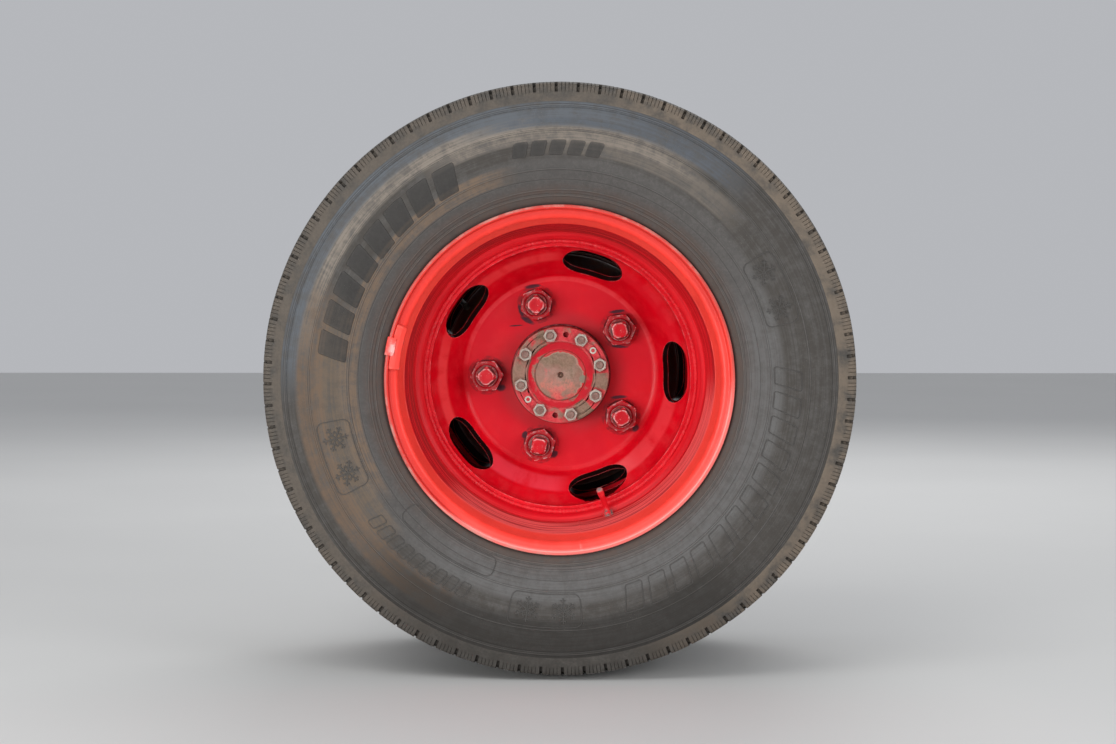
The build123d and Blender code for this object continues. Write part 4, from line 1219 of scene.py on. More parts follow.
def plate_shells():
    """Backing plate: pressed sheet with a stiffening rib and a turned-in lip."""
    path = [
        (60.0, 225.5), (153.0, 225.5), (158.0, 230.5), (170.0, 230.5), (175.0, 225.5),
        (192.5, 225.5), (192.5, 211.5),
    ]
    section = sheet_section(path, (0, 4.0, 5.0, 5.0, 4.0, 5.0, 0), -3.5, edge=0.8)
    return [revolve(divided(section, 12.0, closed=True), columns=300)]


# ------------------------ finishes
class Finish:
    """A material's nodes, built by short sums; every call takes sockets or numbers."""

    def __init__(self, name):
        self.material = bpy.data.materials.new(name)
        self.material.use_nodes = True
        self.tree = self.material.node_tree
        self.shader = self.tree.nodes["Principled BSDF"]
        self.point = self.node("ShaderNodeTexCoord").outputs["Object"]
        self.x, self.y, self.z = self.node("ShaderNodeSeparateXYZ", {"Vector": self.point}).outputs
        across = self.math("SQRT", self.plus(self.times(self.x, self.x), self.times(self.z, self.z)))
        self.radius = self.times(across, METRE)
        self.station = self.plus(self.times(self.y, METRE), DISC_PLANE)
        self.angle = self.math("ARCTAN2", self.z, self.x)
        self.colour = (1.0, 1.0, 1.0)

    def put(self, socket, value):
        """Links a socket, or sets a constant on it."""
        if isinstance(value, bpy.types.NodeSocket):
            self.tree.links.new(value, socket)
        elif hasattr(value, "__len__"):
            socket.default_value = (*value, 1.0)
        else:
            socket.default_value = value

    def node(self, kind, inputs=None, **options):
        """A node with its options set and its inputs linked or set."""
        made = self.tree.nodes.new(kind)
        for key, value in options.items():
            setattr(made, key, value)
        for key, value in (inputs or {}).items():
            self.put(made.inputs[key], value)
        return made

    def math(self, operation, *values):
        """One sum of a Math node."""
        made = self.node("ShaderNodeMath", dict(enumerate(values)), operation=operation)
        return made.outputs[0]

    def chain(self, operation, values):
        """One operation carried through all values, from the first to the last."""
        return reduce(lambda total, value: self.math(operation, total, value), values)

    def plus(self, *values):
        """Sum of all values."""
        return self.chain("ADD", values)

    def minus(self, a, b):
        """a - b."""
        return self.math("SUBTRACT", a, b)

    def times(self, *values):
        """Product of all values."""
        return self.chain("MULTIPLY", values)

    def most(self, *values):
        """Largest of all values."""
        return self.chain("MAXIMUM", values)

    def ramp(self, value, low, high, start=0.0, end=1.0):
        """Smooth step from start to end as the value goes from low to high."""
        inputs = {"Value": value, "From Min": low, "From Max": high, "To Min": start, "To Max": end}
        return self.node("ShaderNodeMapRange", inputs, interpolation_type="SMOOTHSTEP").outputs[0]

    def band(self, value, low, high, soft):
        """1 between low and high, fading to 0 over the soft width."""
        return self.times(self.ramp(value, low - soft, low), self.ramp(value, high + soft, high))

    def arc(self, first, last, soft=8.0):
        """1 between two angles in degrees round the axle, fading over the soft angle."""
        middle, half = radians((first + last) / 2), radians(abs(last - first) / 2)
        facing = self.math("COSINE", self.minus(self.angle, middle))
        return self.ramp(facing, np.cos(min(half + radians(soft), np.pi)), np.cos(half))

    def noise(self, scale, detail=4.0, rough=0.55, vector=None, warp=0.0):
        """Noise of the object's own coordinates; the scale is in waves per metre."""
        inputs = {
            "Vector": self.point if vector is None else vector, "Scale": scale, "Detail": detail,
            "Roughness": rough, "Distortion": warp,
        }
        return self.node("ShaderNodeTexNoise", inputs).outputs[0]

    def hoop_noise(self, detail, rough, *ring):
        """Noise that is long round the axle and closes on itself."""
        return self.noise(1.0, detail, rough, self.ring(*ring))

    def cells(self, scale):
        """Distance to the nearest of scattered points."""
        inputs = {"Vector": self.point, "Scale": scale}
        return self.node("ShaderNodeTexVoronoi", inputs).outputs["Distance"]

    def ring(self, turns, across, along=0.0):
        """Coordinates that close round the axle.

        They are turns cos a, turns sin a, and across radius + along station.
        """
        share = self.math("DIVIDE", METRE * turns, self.most(self.radius, 1.0))
        height = self.plus(self.times(self.radius, across), self.times(self.station, along))
        inputs = {"X": self.times(self.x, share), "Y": self.times(self.z, share), "Z": height}
        return self.node("ShaderNodeCombineXYZ", inputs).outputs[0]

    def mix(self, factor, a, b):
        """Colour a blended to b."""
        made = self.node("ShaderNodeMix", data_type="RGBA")
        for index, value in ((0, factor), (6, a), (7, b)):
            self.put(made.inputs[index], value)
        return made.outputs[2]

    def lay(self, tone, *masks):
        """Lays a tone over the finish's colour, as strong as the product of its masks."""
        self.colour = self.mix(self.times(*masks), self.colour, tone)

    def mix_value(self, factor, a, b):
        """Number a blended to b."""
        return self.plus(self.times(self.minus(1.0, factor), a), self.times(factor, b))

    def mark(self, name):
        """A stored edge mark of the mesh."""
        return self.node("ShaderNodeAttribute", attribute_name=name).outputs["Fac"]

    def stud_distance(self, first, count, circle):
        """Distance in mm, across the axle, to the nearest of the studs on a circle.

        The angle is folded to f, within half a step of a stud: sqrt(r^2 + c^2 - 2 r c cos f).
        """
        step = TURN / count
        turned = self.math("FLOORED_MODULO", self.plus(self.angle, step / 2 - radians(first)), step)
        folded = self.minus(turned, step / 2)
        cross = self.times(self.radius, 2 * circle, self.math("COSINE", folded))
        square = self.plus(self.times(self.radius, self.radius), circle**2)
        return self.math("SQRT", self.most(self.minus(square, cross), 0.0))

    def finish(self, rough, *bumps, metal=0.0, shine=0.5, coat=0.0, coat_rough=0.1):
        """Sets the shader's sockets; each bump is (height socket, strength, depth in mm)."""
        normal = None
        for height, strength, depth in bumps:
            inputs = {"Height": height, "Strength": strength, "Distance": depth / METRE}
            if normal is not None:
                inputs["Normal"] = normal
            normal = self.node("ShaderNodeBump", inputs).outputs[0]
        values = {
            "Base Color": self.colour, "Roughness": rough, "Metallic": metal,
            "Specular IOR Level": shine, "Coat Weight": coat, "Coat Roughness": coat_rough,
            "Normal": normal,
        }
        for key, value in values.items():
            self.put(self.shader.inputs[key], value)
        return self.material


# Tones of the sidewall: inner and outer radius and their blend in mm, first and last angle and
# their blend in degrees (None goes all round), strength, and colour
WALL_TONES = (
    (225.0, 252.0, 14.0, None, None, 0.0, 0.75, (0.092, 0.064, 0.052)),
    (302.0, 380.0, 12.0, None, None, 0.0, 0.90, (0.048, 0.043, 0.038)),
    (256.0, 290.0, 14.0, -112.0, 12.0, 30.0, 0.85, (0.110, 0.108, 0.107)),
    (272.0, 290.0, 4.0, 112.0, 205.0, 12.0, 0.85, (0.155, 0.108, 0.074)),
    (290.0, 322.0, 6.0, 166.0, 216.0, 10.0, 0.75, (0.136, 0.101, 0.072)),
    (304.0, 326.0, 5.0, 52.0, 84.0, 14.0, 0.60, (0.160, 0.138, 0.116)),
    (320.0, 338.0, 5.0, 66.0, 112.0, 14.0, 0.85, (0.185, 0.158, 0.133)),
    (334.0, 349.0, 5.0, 102.0, 166.0, 12.0, 0.95, (0.200, 0.172, 0.145)),
    (318.0, 348.0, 6.0, 166.0, 236.0, 12.0, 0.85, (0.130, 0.088, 0.060)),
    # The last two rows are a painted sheen: the blue-grey of sky light on the upper shoulder.
    (341.0, 368.0, 6.0, 58.0, 100.0, 16.0, 0.95, (0.078, 0.088, 0.102)),
    (352.0, 369.0, 5.0, 84.0, 172.0, 16.0, 1.00, (0.090, 0.099, 0.111)),
)


def sidewall_finish(tyre, marks):
    """Aged sidewall: brown-grey rubber, tan road dust in bands, a blue-grey painted sheen on the upper
    shoulder, and painted shade at the foot, in the creases and where it meets the rim.

    Each tone is a window in radius (mm) times a window in angle (degrees), broken by noise. The
    moulded marks stand out of the dust, so they keep less of it.
    """
    f = Finish("Sidewall marks" if marks else "Sidewall rubber")
    patch_noise = f.noise(16.0, 6.0, 0.65)
    fine_noise = f.noise(260.0, 5.0, 0.7)
    mottle = f.noise(70.0, 6.0, 0.7)
    streaks = f.hoop_noise(6.0, 0.7, 24.0, 0.06)
    rings = f.hoop_noise(5.0, 0.65, 2.2, 0.42)
    base = tuple((0.40 if marks else 1.0) * c for c in tyre.rubber)
    f.colour = f.mix(f.ramp(fine_noise, 0.3, 0.75), tuple(0.72 * c for c in base), base)
    f.lay(tuple(0.60 * c for c in base), f.ramp(mottle, 0.42, 0.66), 0.45)
    broken = f.plus(f.times(f.ramp(streaks, 0.36, 0.62), 0.5), f.times(f.ramp(rings, 0.38, 0.60), 0.55))
    broken = f.math("MINIMUM", f.plus(broken, f.times(f.ramp(mottle, 0.40, 0.62), 0.25)), 1.0)
    # Gathers every tone's window, dust and painted sheen alike; it makes the rubber rougher.
    dust_and_sheen = 0.0
    for low, high, soft, first, last, blend, strength, tone in WALL_TONES:
        window = f.band(f.radius, low, high, soft)
        if first is not None:
            window = f.times(window, f.arc(first, last, blend))
        window = f.times(window, broken, strength * (0.22 if marks else 1.0))
        f.lay(tone, window)
        dust_and_sheen = f.most(dust_and_sheen, window)
    # Painted shade at the foot: the lower sidewall goes dark.
    foot = f.times(
        f.band(f.radius, 326.0, 374.0, 14.0), f.arc(238.0, 300.0, 22.0), 0.48 if marks else 0.80,
    )
    f.lay((0.022, 0.020, 0.018), foot)
    rub = f.times(f.ramp(patch_noise, 0.50, 0.62), f.ramp(mottle, 0.40, 0.60), 0.30)
    f.lay(tuple(0.55 * c for c in base), rub)
    # Painted shade in the creases.
    crease_shade = f.times(f.ramp(f.mark("crease"), 0.03, 0.30), f.ramp(fine_noise, 0.2, 0.6))
    f.lay(tuple(0.35 * c for c in tyre.rubber), crease_shade, 0.55)
    rubbed = f.ramp(f.mark("ridge"), 0.15, 0.8, end=0.17 if marks else 0.20)
    f.lay((0.150, 0.140, 0.130), rubbed)
    # Painted shade where the tyre meets the rim.
    contact_shade = f.ramp(f.radius, 240.0, 235.5)
    f.lay((0.034, 0.026, 0.022), contact_shade, 0.60)
    speck = f.ramp(f.cells(420.0), 0.16, 0.05)
    f.lay((0.26, 0.22, 0.175), speck, f.ramp(patch_noise, 0.45, 0.62), 0.50)
    rough = f.plus(0.60, f.times(dust_and_sheen, 0.28))
    lines = f.math("SINE", f.times(f.radius, TURN / 1.7))
    return f.finish(
        rough, (patch_noise, 0.5, 1.2), (mottle, 0.4, 0.5), (fine_noise, 0.40, 0.25),
        (lines, 0.10, 0.05), shine=0.30,
    )


def tread_finish(tyre):
    """Tread rubber: painted shade in the grooves and along the bottom, dust and scuffs on the shoulder
    blocks.
    """
    f = Finish("Tread rubber")
    coarse = f.noise(36.0, 5.0, 0.6)
    fine_noise = f.noise(300.0, 5.0, 0.7)
    streaks = f.hoop_noise(4.0, 0.6, 40.0, 0.02, 0.04)
    f.colour = f.mix(f.ramp(fine_noise, 0.3, 0.7), (0.045, 0.042, 0.038), (0.076, 0.069, 0.062))
    face = f.band(f.radius, 372.0, 396.5, 2.5)
    thick = f.most(f.arc(-62.0, 66.0, 26.0), 0.42)
    sides = f.times(face, f.arc(-62.0, 232.0, 22.0), f.ramp(coarse, 0.28, 0.6))
    f.lay(tyre.dust, sides, thick, 0.42)
    top = f.times(f.ramp(f.radius, 395.0, 399.0), f.ramp(streaks, 0.35, 0.7))
    f.lay((0.165, 0.145, 0.122), top, 0.5)
    # Painted shade in the grooves.
    low = f.ramp(f.mark("crease"), 0.03, 0.35)
    f.lay((0.022, 0.018, 0.015), low, 0.65)
    rubbed = f.ramp(f.mark("ridge"), 0.1, 0.8)
    f.lay((0.22, 0.19, 0.165), rubbed, f.ramp(coarse, 0.3, 0.6), 0.35)
    # Painted shade along the bottom of the tread.
    foot = f.times(f.arc(240.0, 300.0, 16.0), f.ramp(coarse, 0.25, 0.6))
    f.lay((0.024, 0.021, 0.018), foot, 0.5)
    rough = f.ramp(fine_noise, 0.2, 0.8, 0.72, 0.95)
    return f.finish(rough, (coarse, 0.4, 0.8), (fine_noise, 0.45, 0.3), shine=0.35)


def enamel(f, base, paint, coarse, fine_noise, dull=0.0):
    """Shared part of painted steel: faded and mottled enamel with fine dust and soft stains."""
    faded = tuple(min(1.0, 0.94 * c + 0.016) for c in base)
    deep = tuple(0.80 * c for c in base)
    f.colour = f.mix(f.ramp(coarse, 0.32, 0.68), deep, base)
    f.lay(faded, f.ramp(f.noise(55.0, 5.0, 0.65), 0.42, 0.7), 0.45 + dull)
    dirt = f.times(f.ramp(fine_noise, 0.55, 0.80), f.ramp(coarse, 0.35, 0.7), 0.16)
    f.lay(paint.grime, dirt)


def rim_finish(paint):
    """Orange-red flange and bead seat, deep red well with hoops of dirt, thin pale line between; the
    well's red is partly painted shade, the thin line, the pale band on the lower flange and the lower
    lip are painted highlights, the paler lower well is partly painted highlight and partly dust, the
    upper curl is painted light, and the upper flange and the lip carry painted shade.

    Hoops are noise of (cos a, sin a, radius + station), which is long round the axle.
    """
    f = Finish("Rim enamel")
    coarse = f.noise(11.0, 4.0, 0.6)
    fine_noise = f.noise(260.0, 5.0, 0.65)
    patchy = f.hoop_noise(5.0, 0.65, 9.0, 0.02, 0.02)
    hoops = f.hoop_noise(4.0, 0.6, 1.2, 0.45, 0.30)
    enamel(f, paint.rim, paint, coarse, fine_noise)
    low_right = f.arc(236.0, 348.0, 16.0)
    place_along = f.minus(f.station, f.times(low_right, 4.0))
    # The well's deep red is partly painted shade of the recess, as on the disc.
    deep = f.ramp(place_along, -180.5, -177.0)
    f.lay(f.mix(f.ramp(hoops, 0.40, 0.62), (0.54, 0.003, 0.010), (0.66, 0.014, 0.022)), deep)
    grime_arc = f.most(f.arc(160.0, 290.0, 35.0), f.arc(60.0, 120.0, 30.0), 0.35)
    hoop = f.times(f.band(f.station, -166.0, -118.0, 10.0), f.ramp(hoops, 0.55, 0.44), grime_arc)
    f.lay((0.190, 0.045, 0.040), hoop, 0.50)
    shadow = f.times(f.band(f.station, -174.0, -166.0, 4.0), f.ramp(patchy, 0.30, 0.60))
    f.lay((0.230, 0.018, 0.022), shadow, 0.50)
    # Painted highlight: a thin pale line along the bend between flange and well.
    line = f.times(f.band(place_along, -181.5, -179.5, 0.8), f.ramp(patchy, 0.40, 0.58))
    f.lay((0.90, 0.26, 0.23), line, 0.55)
    # Paler pink low in the well: partly painted highlight, partly dust.
    low_highlight_and_dust = f.times(f.band(place_along, -180.0, -128.0, 8.0), low_right, f.ramp(hoops, 0.36, 0.54))
    f.lay((0.84, 0.150, 0.145), low_highlight_and_dust, 0.85)
    # Painted highlight: a pale pink band on the lower flange, where its curve faces the light.
    pale = f.times(
        f.band(f.radius, 222.5, 230.0, 3.0), f.arc(242.0, 346.0, 18.0),
        f.ramp(f.station, -208.0, -212.0),
    )
    f.lay((0.92, 0.320, 0.290), pale, f.ramp(patchy, 0.1, 0.4), 0.95)
    # Painted light: the upper curl from flange to well is made brighter where the lamps leave it in
    # shade.
    curl_painted_light = f.times(
        f.band(f.radius, 200.0, 215.0, 3.0), f.minus(1.0, deep), f.most(f.arc(40.0, 165.0, 20.0), 0.35),
    )
    f.lay((1.0, 0.095, 0.068), curl_painted_light, 0.90)
    # Painted shade: the flange face by the lip is darker over the upper half.
    outer = f.times(
        f.ramp(f.radius, 219.0, 224.0), f.ramp(f.station, -206.0, -209.0), f.arc(28.0, 222.0, 20.0),
    )
    f.lay((0.56, 0.026, 0.020), outer, 0.80)
    # The lip is darkened all round as painted shade of the gap to the tyre, then lightened along the
    # bottom as a painted highlight.
    lip = f.times(f.ramp(f.radius, 230.5, 233.0), f.ramp(f.station, -211.5, -213.6))
    f.lay((0.44, 0.064, 0.052), lip, 0.85)
    f.lay((0.84, 0.175, 0.155), lip, f.arc(226.0, 352.0, 14.0), 0.80)
    worn = f.times(
        f.most(f.arc(43.0, 134.0, 12.0), f.arc(192.0, 264.0, 12.0), 0.15),
        f.ramp(f.noise(60.0, 4.0, 0.6), 0.40, 0.66),
    )
    f.lay((0.46, 0.27, 0.23), lip, worn, 0.60)
    chips = f.times(f.ramp(f.mark("ridge"), 0.12, 0.7), f.ramp(f.noise(180.0, 6.0, 0.7), 0.58, 0.68))
    f.lay(paint.chip, chips, 0.25)
    bead = f.times(f.ramp(f.radius, 233.4, 235.0), f.ramp(f.station, -207.0, -203.0))
    f.lay((0.030, 0.026, 0.024), bead)
    inside = f.times(f.ramp(f.station, -99.0, -92.0), f.ramp(coarse, 0.2, 0.6))
    f.lay((0.100, 0.020, 0.018), inside, 0.75)
    rough = f.plus(0.34, f.times(f.most(hoop, f.ramp(fine_noise, 0.5, 0.8)), 0.26))
    return f.finish(
        rough, (coarse, 0.30, 1.5), (fine_noise, 0.12, 0.12), (hoops, 0.18, 0.30), shine=0.20,
        coat=0.03, coat_rough=0.15,
    )


# Sooty patches on the discs where wrenches and old nuts scraped them: x, z, half length and half
# width in mm, and lean in degrees
SOOT = (
    (-40.2, 123.8, 11.0, 2.8, 8.0), (-56.4, 89.6, 10.0, 3.0, -70.0), (-47.4, 75.6, 10.0, 3.4, -30.0),
    (-85.0, -20.2, 6.5, 4.6, 10.0), (79.8, 88.4, 11.5, 2.4, 6.0), (83.0, 38.6, 11.5, 2.0, -4.0),
    (82.6, -33.2, 11.5, 2.4, 4.0), (106.2, -77.4, 5.5, 4.0, 50.0), (-51.2, -86.4, 5.6, 4.0, 60.0),
    (-9.8, -114.6, 6.0, 4.4, 40.0), (-63.4, 68.2, 9.0, 1.1, 4.0),
)


def soot_patches(f, ragged):
    """1 inside each sooty patch: its ellipse (u / a)^2 + (v / b)^2 < 1, made ragged by noise."""
    total = 0.0
    across, high = f.times(f.x, METRE), f.times(f.z, METRE)
    for x, z, long, wide, lean in SOOT:
        dx, dz = f.minus(across, x), f.minus(high, z)
        cos, sin = np.cos(radians(lean)), np.sin(radians(lean))
        u = f.times(f.plus(f.times(dx, cos), f.times(dz, sin)), 1 / long)
        v = f.times(f.minus(f.times(dz, cos), f.times(dx, sin)), 1 / wide)
        reach = f.plus(f.times(u, u), f.times(v, v), f.times(ragged, 1.6))
        total = f.most(total, f.ramp(reach, 2.4, 1.2))
    return total


# Pale zones of the disc's cone, partly painted highlight and partly faded enamel: first and last angle
# in degrees, inner and outer radius in mm, and colour
DISC_HIGHLIGHTS_AND_FADING = (
    (234.0, 264.0, 147.0, 161.0, (0.76, 0.046, 0.072)),
    (288.0, 316.0, 151.0, 164.0, (0.80, 0.100, 0.112)),
    (316.0, 350.0, 151.0, 164.0, (0.74, 0.040, 0.052)),
    (164.0, 206.0, 162.0, 169.0, (0.80, 0.055, 0.060)),
    (98.0, 134.0, 163.0, 169.0, (0.76, 0.045, 0.052)),
    (132.0, 160.0, 163.0, 169.0, (0.72, 0.030, 0.038)),
    (20.0, 60.0, 162.0, 170.0, (0.66, 0.010, 0.022)),
)


def disc_finish(paint):
    """Deep red disc: sooty rings at the nuts, pale pink on its cone that is partly painted highlight
    and partly faded enamel, painted highlights on its bends, painted shade near the hub, under the nuts
    and in the bore, bright worn hole edges.

    The cut sheet of the hand holes is painted near black as painted shade. The depth under the cone's
    open face is i (sheet - |station|) + o (radius - flat's radius), where (i, o) is the cone's
    direction.
    """
    f = Finish("Disc enamel")
    coarse = f.noise(13.0, 4.0, 0.6)
    fine_noise = f.noise(300.0, 5.0, 0.65)
    streaks = f.hoop_noise(5.0, 0.6, 7.0, 0.03)
    enamel(f, paint.disc, paint, coarse, fine_noise, dull=0.05)
    centre = f.times(f.ramp(f.radius, 136.0, 128.0), f.ramp(f.noise(20.0, 5.0, 0.6), 0.25, 0.60))
    f.lay((0.60, 0.005, 0.018), centre, 0.80)
    # Painted shade: darker red towards the hub, deep in the dish.
    hub_side_shade = f.times(f.ramp(f.radius, 98.0, 78.0), f.ramp(coarse, 0.25, 0.6))
    f.lay((0.40, 0.018, 0.026), hub_side_shade, 0.75)
    # Pale zones: partly painted highlight, partly faded enamel.
    for first, last, low, high, tone in DISC_HIGHLIGHTS_AND_FADING:
        window = f.times(
            f.band(f.radius, low, high, 4.5), f.arc(first, last, 12.0), f.ramp(streaks, 0.15, 0.55),
        )
        f.lay(tone, window, 0.90)
    # Painted highlight along the bend at R 137, stronger over the upper half.
    bend_highlight = f.times(f.band(f.radius, 132.6, 137.0, 2.0), f.ramp(streaks, 0.20, 0.55))
    f.lay((0.74, 0.060, 0.072), bend_highlight, f.plus(0.22, f.times(f.arc(30.0, 150.0, 20.0), 0.36)))
    # Painted highlight on the outer bend of the cone.
    outer_bend_highlight = f.times(f.band(f.radius, 168.0, 179.0, 3.0), f.ramp(streaks, 0.40, 0.66))
    f.lay((0.70, 0.060, 0.070), outer_bend_highlight, 0.25)
    near = f.stud_distance(STUD_FIRST, len(NUT_TURNS), STUD_CIRCLE)
    wrench = f.times(f.band(near, 23.0, 26.5, 2.2), f.ramp(f.noise(120.0, 5.0, 0.7), 0.40, 0.60))
    f.lay((0.170, 0.012, 0.018), wrench, 0.60)
    # Painted shade under each nut: nearly black close round the stud.
    f.lay((0.045, 0.008, 0.010), f.ramp(near, 23.5, 21.5), 0.85)
    outboard = f.ramp(f.station, -4.0, -8.0)
    soot = f.times(soot_patches(f, f.noise(150.0, 5.0, 0.7)), outboard)
    f.lay((0.026, 0.016, 0.028), soot, 0.88)
    # Painted shade: a near black ring in the gap at the bore.
    spigot = f.ramp(f.radius, 71.6, 69.6)
    f.lay((0.020, 0.006, 0.006), spigot, 0.9)
    chips = f.times(f.ramp(f.mark("ridge"), 0.20, 0.9), f.ramp(f.noise(160.0, 6.0, 0.7), 0.44, 0.60))
    f.lay((0.80, 0.26, 0.27), chips, 0.45)
    scratch = f.ramp(f.hoop_noise(3.0, 0.7, 3.0, 2.2), 0.70, 0.76)
    f.lay((0.75, 0.16, 0.17), scratch, f.ramp(coarse, 0.45, 0.6), 0.25)
    # Painted shade: the cut sheet of the hand holes is near black.
    ahead = f.minus(DISC_SHEET, f.math("ABSOLUTE", f.station))
    beside = f.minus(f.radius, DISC_PATH[2][0])
    inside = f.plus(f.times(ahead, CONE_INWARD), f.times(beside, CONE_OUTBOARD))
    wall = f.times(f.band(inside, 0.8, 8.2, 0.5), f.band(f.radius, 141.0, 179.0, 1.5))
    f.lay((0.012, 0.003, 0.003), wall)
    rough = f.plus(0.30, f.times(f.most(f.ramp(fine_noise, 0.45, 0.8), centre), 0.22))
    return f.finish(
        rough, (coarse, 0.25, 1.2), (f.noise(70.0, 3.0, 0.5), 0.12, 0.30), (fine_noise, 0.08, 0.10),
        shine=0.11, coat=0.02, coat_rough=0.12,
    )


def weld_finish(paint):
    """Painted weld bead: pale streaks along it and a pale crest, partly thinned enamel and partly
    painted highlight, and dark soot specks.
    """
    f = Finish("Weld enamel")
    coarse = f.noise(30.0, 5.0, 0.65)
    fine_noise = f.noise(330.0, 5.0, 0.7)
    streaks = f.hoop_noise(5.0, 0.6, 60.0, 0.02)
    enamel(f, paint.disc, paint, coarse, fine_noise)
    # Pale streaks and the pale crest: partly thinned enamel, partly painted highlight.
    f.lay((0.70, 0.055, 0.060), f.ramp(streaks, 0.50, 0.68), 0.45)
    crest = f.times(f.ramp(f.mark("ridge"), 0.2, 0.9), f.ramp(coarse, 0.42, 0.6))
    f.lay((0.82, 0.24, 0.24), crest, 0.30)
    f.lay((0.10, 0.012, 0.012), f.ramp(fine_noise, 0.56, 0.7), 0.5)
    return f.finish(
        f.ramp(coarse, 0.3, 0.7, 0.35, 0.6), (coarse, 0.5, 0.8), (fine_noise, 0.4, 0.3), shine=0.25,
    )


def nut_finish(paint, name, base, bare, worn):
    """Painted nuts: enamel knocked off corners, darker low down by the disc, painted shade in the
    hollows, wrench marks on the flats.
    """
    f = Finish(name)
    coarse = f.noise(60.0, 5.0, 0.65)
    fine_noise = f.noise(420.0, 5.0, 0.7)
    enamel(f, base, paint, coarse, fine_noise)
    chips = f.times(
        f.ramp(f.mark("ridge"), 0.16, 0.60), f.ramp(f.noise(170.0, 6.0, 0.7), 0.52 - worn, 0.62 - worn),
    )
    f.lay(bare, chips, 0.80)
    scuff = f.ramp(f.noise(210.0, 5.0, 0.7, warp=0.8), 0.63, 0.69)
    f.lay(bare, scuff, 0.65)
    # Darker low down, towards the disc.
    low = f.times(f.ramp(f.station, -24.0, -10.0), f.ramp(coarse, 0.25, 0.6))
    f.lay((0.070, 0.010, 0.012), low, 0.75)
    barrel = f.times(f.band(f.station, -49.8, -37.2, 0.4), f.ramp(fine_noise, 0.25, 0.55))
    f.lay((0.110, 0.035, 0.030), barrel, 0.70)
    # Painted shade in the hollows.
    hollow_shade = f.ramp(f.mark("crease"), 0.08, 0.5)
    f.lay((0.045, 0.014, 0.013), hollow_shade, 0.85)
    rough = f.plus(0.34, f.times(f.most(chips, low), 0.25))
    return f.finish(
        rough, (coarse, 0.5, 0.6), (fine_noise, 0.3, 0.12), shine=0.16, coat=0.02, coat_rough=0.15,
    )


# Middle of the olive spot on the flange's boss: x and z in mm
OLIVE_SPOT = (31.6, -5.6)


